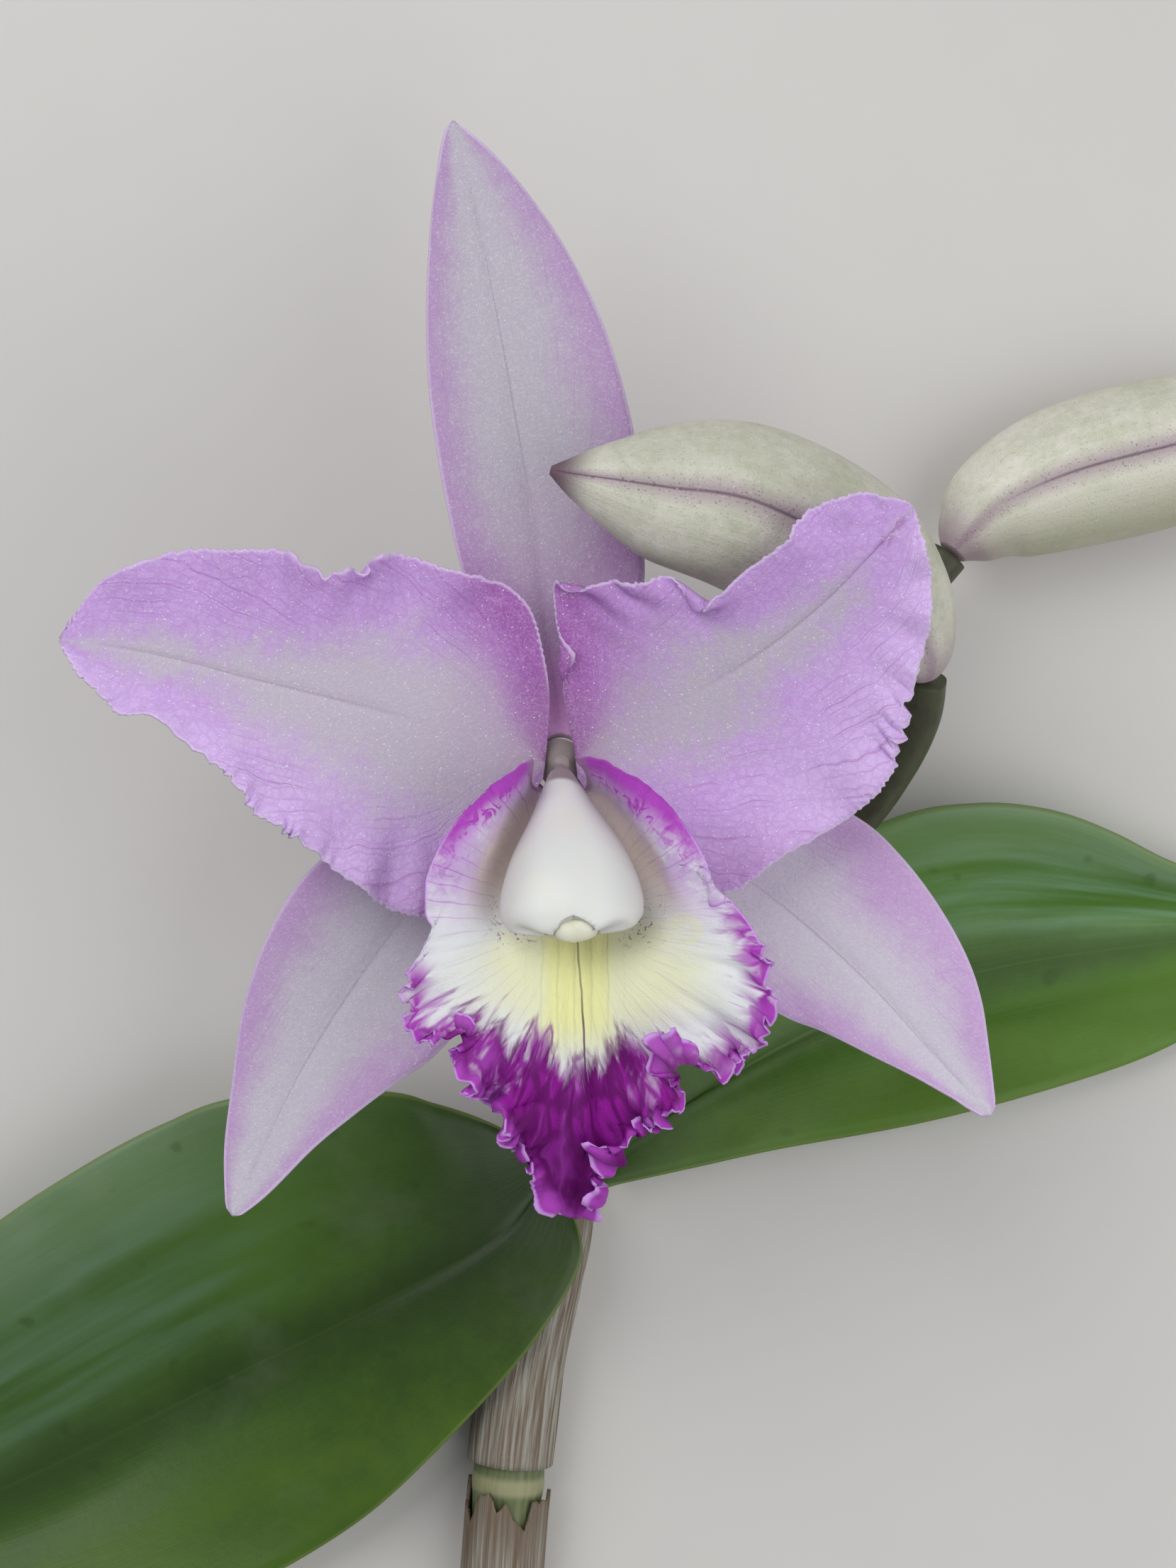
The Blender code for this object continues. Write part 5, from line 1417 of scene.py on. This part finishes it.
class ORCHID_OT_stalks(bpy.types.Operator):
    """Build the peduncle and the three stalks that branch from it, joined into one piece"""
    bl_idname = "orchid.stalks"
    bl_label = "Flower stalks"

    def execute(self, context):
        settings = context.scene.orchid_growth
        finish = stalk_finish("stalk skin", settings.stalk_green, settings.stalk_brown, STALK_TOP_COLOUR)
        pieces = []
        for name, axis, radii, up, neck_from, rings in (
            ("flower_stalks_ribbed", PEDUNCLE, PEDUNCLE_RADIUS, (0, 0, 1), NO_NECK, 32),
            ("flower_branch", FLOWER_STALK, FLOWER_STALK_RADIUS, (1, 0, 0), NECK_FROM, 60),
            ("front_branch", FRONT_STALK, FRONT_STALK_RADIUS, (0, 0, 1), NO_NECK, 60),
            ("rear_branch", REAR_STALK, REAR_STALK_RADIUS, (0, 0, 1), NO_NECK, 60),
        ):
            def section(shares, angle):
                radius = np.where(shares > neck_from, NECK_RADIUS, size_along(radii, shares))
                ribs = 1 + 0.03 * np.sin(5 * angle + 3 * shares)
                return radius * ribs, radius * ribs

            bm = round_body(axis, section, up=up, sides=28, rings=rings, flat_ends=True)
            pieces.append(finish_piece(name, bm, finish, "flower_stalks"))
        combine(pieces[0], pieces[1:], "UNION")
        return {"FINISHED"}


class ORCHID_OT_cane(bpy.types.Operator):
    """Build the cane with its joints, and the dry sheaths round it and round the peduncle's foot"""
    bl_idname = "orchid.cane"
    bl_label = "Cane and sheaths"

    def execute(self, context):
        settings = context.scene.orchid_growth
        thick = settings.sheath_thick / MM

        def cane_section(shares, angle):
            swell = sum(hump(shares - joint, CANE_JOINT_LENGTH) for joint in CANE_JOINTS)
            ribs = 1 + 0.012 * np.sin(11 * angle)
            radius = (size_along(CANE_RADIUS, shares) + CANE_JOINT_SWELL * swell) * ribs
            return radius, radius

        def sheath_radius(shares):
            return size_along(CANE_RADIUS, shares) + CANE_JOINT_SWELL + SHEATH_CLEARANCE

        def foot_radius(shares):
            first, last = FLOWER_SHEATH_SPAN
            low, high = FLOWER_SHEATH_RADIUS
            return low + (high - low) * (shares - first) / (last - first)

        def add_sheath(node, sheath, paper):
            piece = finish_piece(node + "_papery", sheath.mesh(), paper, node)
            add_wall(piece, thick, np.ones(len(piece.data.vertices)))

        bm = round_body(
            CANE_AXIS, cane_section, sides=48, rings=120, flat_ends=True, lowest=PAPER_THICK + CANE_LIFT)
        finish = cane_finish("cane skin", settings.cane_green, (0.40, 0.38, 0.22))
        finish_piece("cane_jointed", bm, finish, "cane")
        paper = paper_finish("cane sheath paper", settings.sheath_pale, settings.sheath_brown)
        for node, span in (
            ("lower_cane_sheath", LOWER_CANE_SHEATH),
            ("upper_cane_sheath", UPPER_CANE_SHEATH),
        ):
            sheath = Tube(CANE_AXIS, sheath_radius, span, (60, 60), CANE_SHEATH_TEAR, lowest=thick / 2)
            add_sheath(node, sheath, paper)
        brown = paper_finish("flower sheath paper", (0.30, 0.22, 0.13), (0.10, 0.06, 0.03))
        sheath = Tube(
            PEDUNCLE, foot_radius, FLOWER_SHEATH_SPAN, (48, 28), FLOWER_SHEATH_TEAR, FLOWER_SHEATH_SPLIT)
        add_sheath("flower_sheath", sheath, brown)
        return {"FINISHED"}


class ORCHID_OT_leaves(bpy.types.Operator):
    """Build the two broad leathery leaves"""
    bl_idname = "orchid.leaves"
    bl_label = "Leaves"

    def execute(self, context):
        settings = context.scene.orchid_growth
        thick = settings.leaf_thick / MM
        # The right leaf takes lighter copies of the same colours, as painted light
        for node, lines, tone in (
            ("left_leaf", LEFT_LEAF, 1.0),
            ("right_leaf", RIGHT_LEAF, settings.right_leaf_painted_light),
        ):
            green = tinted(settings.leaf_green, tone)
            light = tinted(settings.leaf_light, tone)
            sheen = tinted(settings.leaf_sheen, tone)
            finish = leaf_finish(node + " skin", green, light, sheen, settings.leaf_margin)
            blade = Blade(lines, 56, 130)
            blade.add_waves(LEAF_WAVES)
            blade.add_pleats(5, 0.25, slant=0.2, inner=0.2)
            blade.add_midrib(0.5, 0.05)
            blade.keep_above(thick / 2)
            finish_blade(node + "_glossy", blade, blade.maps(), finish, node, thick, 1.8)
        return {"FINISHED"}


class ORCHID_OT_stage(bpy.types.Operator):
    """Set the plain floor, the soft lights and the camera that looks down on the growth"""
    bl_idname = "orchid.stage"
    bl_label = "Stage"

    def execute(self, context):
        settings = context.scene.orchid_stage
        scene = context.scene
        bm = bmesh.new()
        bmesh.ops.create_grid(bm, x_segments=1, y_segments=1, size=FLOOR_HALF)
        mesh = bpy.data.meshes.new("floor")
        bm.to_mesh(mesh)
        bm.free()
        mesh.materials.append(floor_finish("floor paint", settings.floor_colour))
        floor = bpy.data.objects.new("floor", mesh)
        scene.collection.objects.link(floor)
        for (name, size, place, target), power in zip(LIGHTS, (settings.key_power, settings.fill_power)):
            light = bpy.data.lights.new(name, "AREA")
            light.energy = power
            light.size = size
            lamp = bpy.data.objects.new(name, light)
            lamp.location = place
            lamp.rotation_mode = "QUATERNION"
            lamp.rotation_quaternion = (Vector(target) - Vector(place)).to_track_quat("-Z", "Y")
            scene.collection.objects.link(lamp)
        world = bpy.data.worlds.new("surroundings")
        world.use_nodes = True
        background = world.node_tree.nodes["Background"].inputs
        background["Color"].default_value = (0.93, 0.96, 1.0, 1)
        background["Strength"].default_value = settings.sky
        scene.world = world
        camera = bpy.data.objects.new("camera", bpy.data.cameras.new("camera"))
        camera.data.sensor_width = 36
        camera.data.lens = settings.lens
        camera.location = CAMERA_AT
        scene.collection.objects.link(camera)
        scene.camera = camera
        scene.view_settings.view_transform = "Standard"
        return {"FINISHED"}


OPERATORS = (
    ORCHID_OT_sepals, ORCHID_OT_petals, ORCHID_OT_lip, ORCHID_OT_column, ORCHID_OT_buds,
    ORCHID_OT_stalks, ORCHID_OT_cane, ORCHID_OT_leaves, ORCHID_OT_stage,
)


class ORCHID_PT_panel(bpy.types.Panel):
    """Lists the growth's pieces and their settings"""
    bl_label = "Cattleya orchid"
    bl_space_type = "VIEW_3D"
    bl_region_type = "UI"
    bl_category = "Orchid"

    def draw(self, context):
        layout = self.layout
        for operator in OPERATORS:
            layout.operator(operator.bl_idname)
        scene = context.scene
        for settings in (scene.orchid_flower, scene.orchid_growth, scene.orchid_stage):
            box = layout.box()
            for name in settings.__annotations__:
                box.prop(settings, name)


CLASSES = (FlowerSettings, GrowthSettings, StageSettings, *OPERATORS, ORCHID_PT_panel)


def register():
    for item in CLASSES:
        bpy.utils.register_class(item)
    bpy.types.Scene.orchid_flower = PointerProperty(type=FlowerSettings)
    bpy.types.Scene.orchid_growth = PointerProperty(type=GrowthSettings)
    bpy.types.Scene.orchid_stage = PointerProperty(type=StageSettings)


def unregister():
    del bpy.types.Scene.orchid_stage
    del bpy.types.Scene.orchid_growth
    del bpy.types.Scene.orchid_flower
    for item in reversed(CLASSES):
        bpy.utils.unregister_class(item)


def main():
    register()
    bpy.ops.orchid.sepals()
    bpy.ops.orchid.petals()
    bpy.ops.orchid.lip()
    bpy.ops.orchid.column()
    bpy.ops.orchid.buds()
    bpy.ops.orchid.stalks()
    bpy.ops.orchid.cane()
    bpy.ops.orchid.leaves()
    bpy.ops.orchid.stage()


if __name__ == "__main__":
    main()
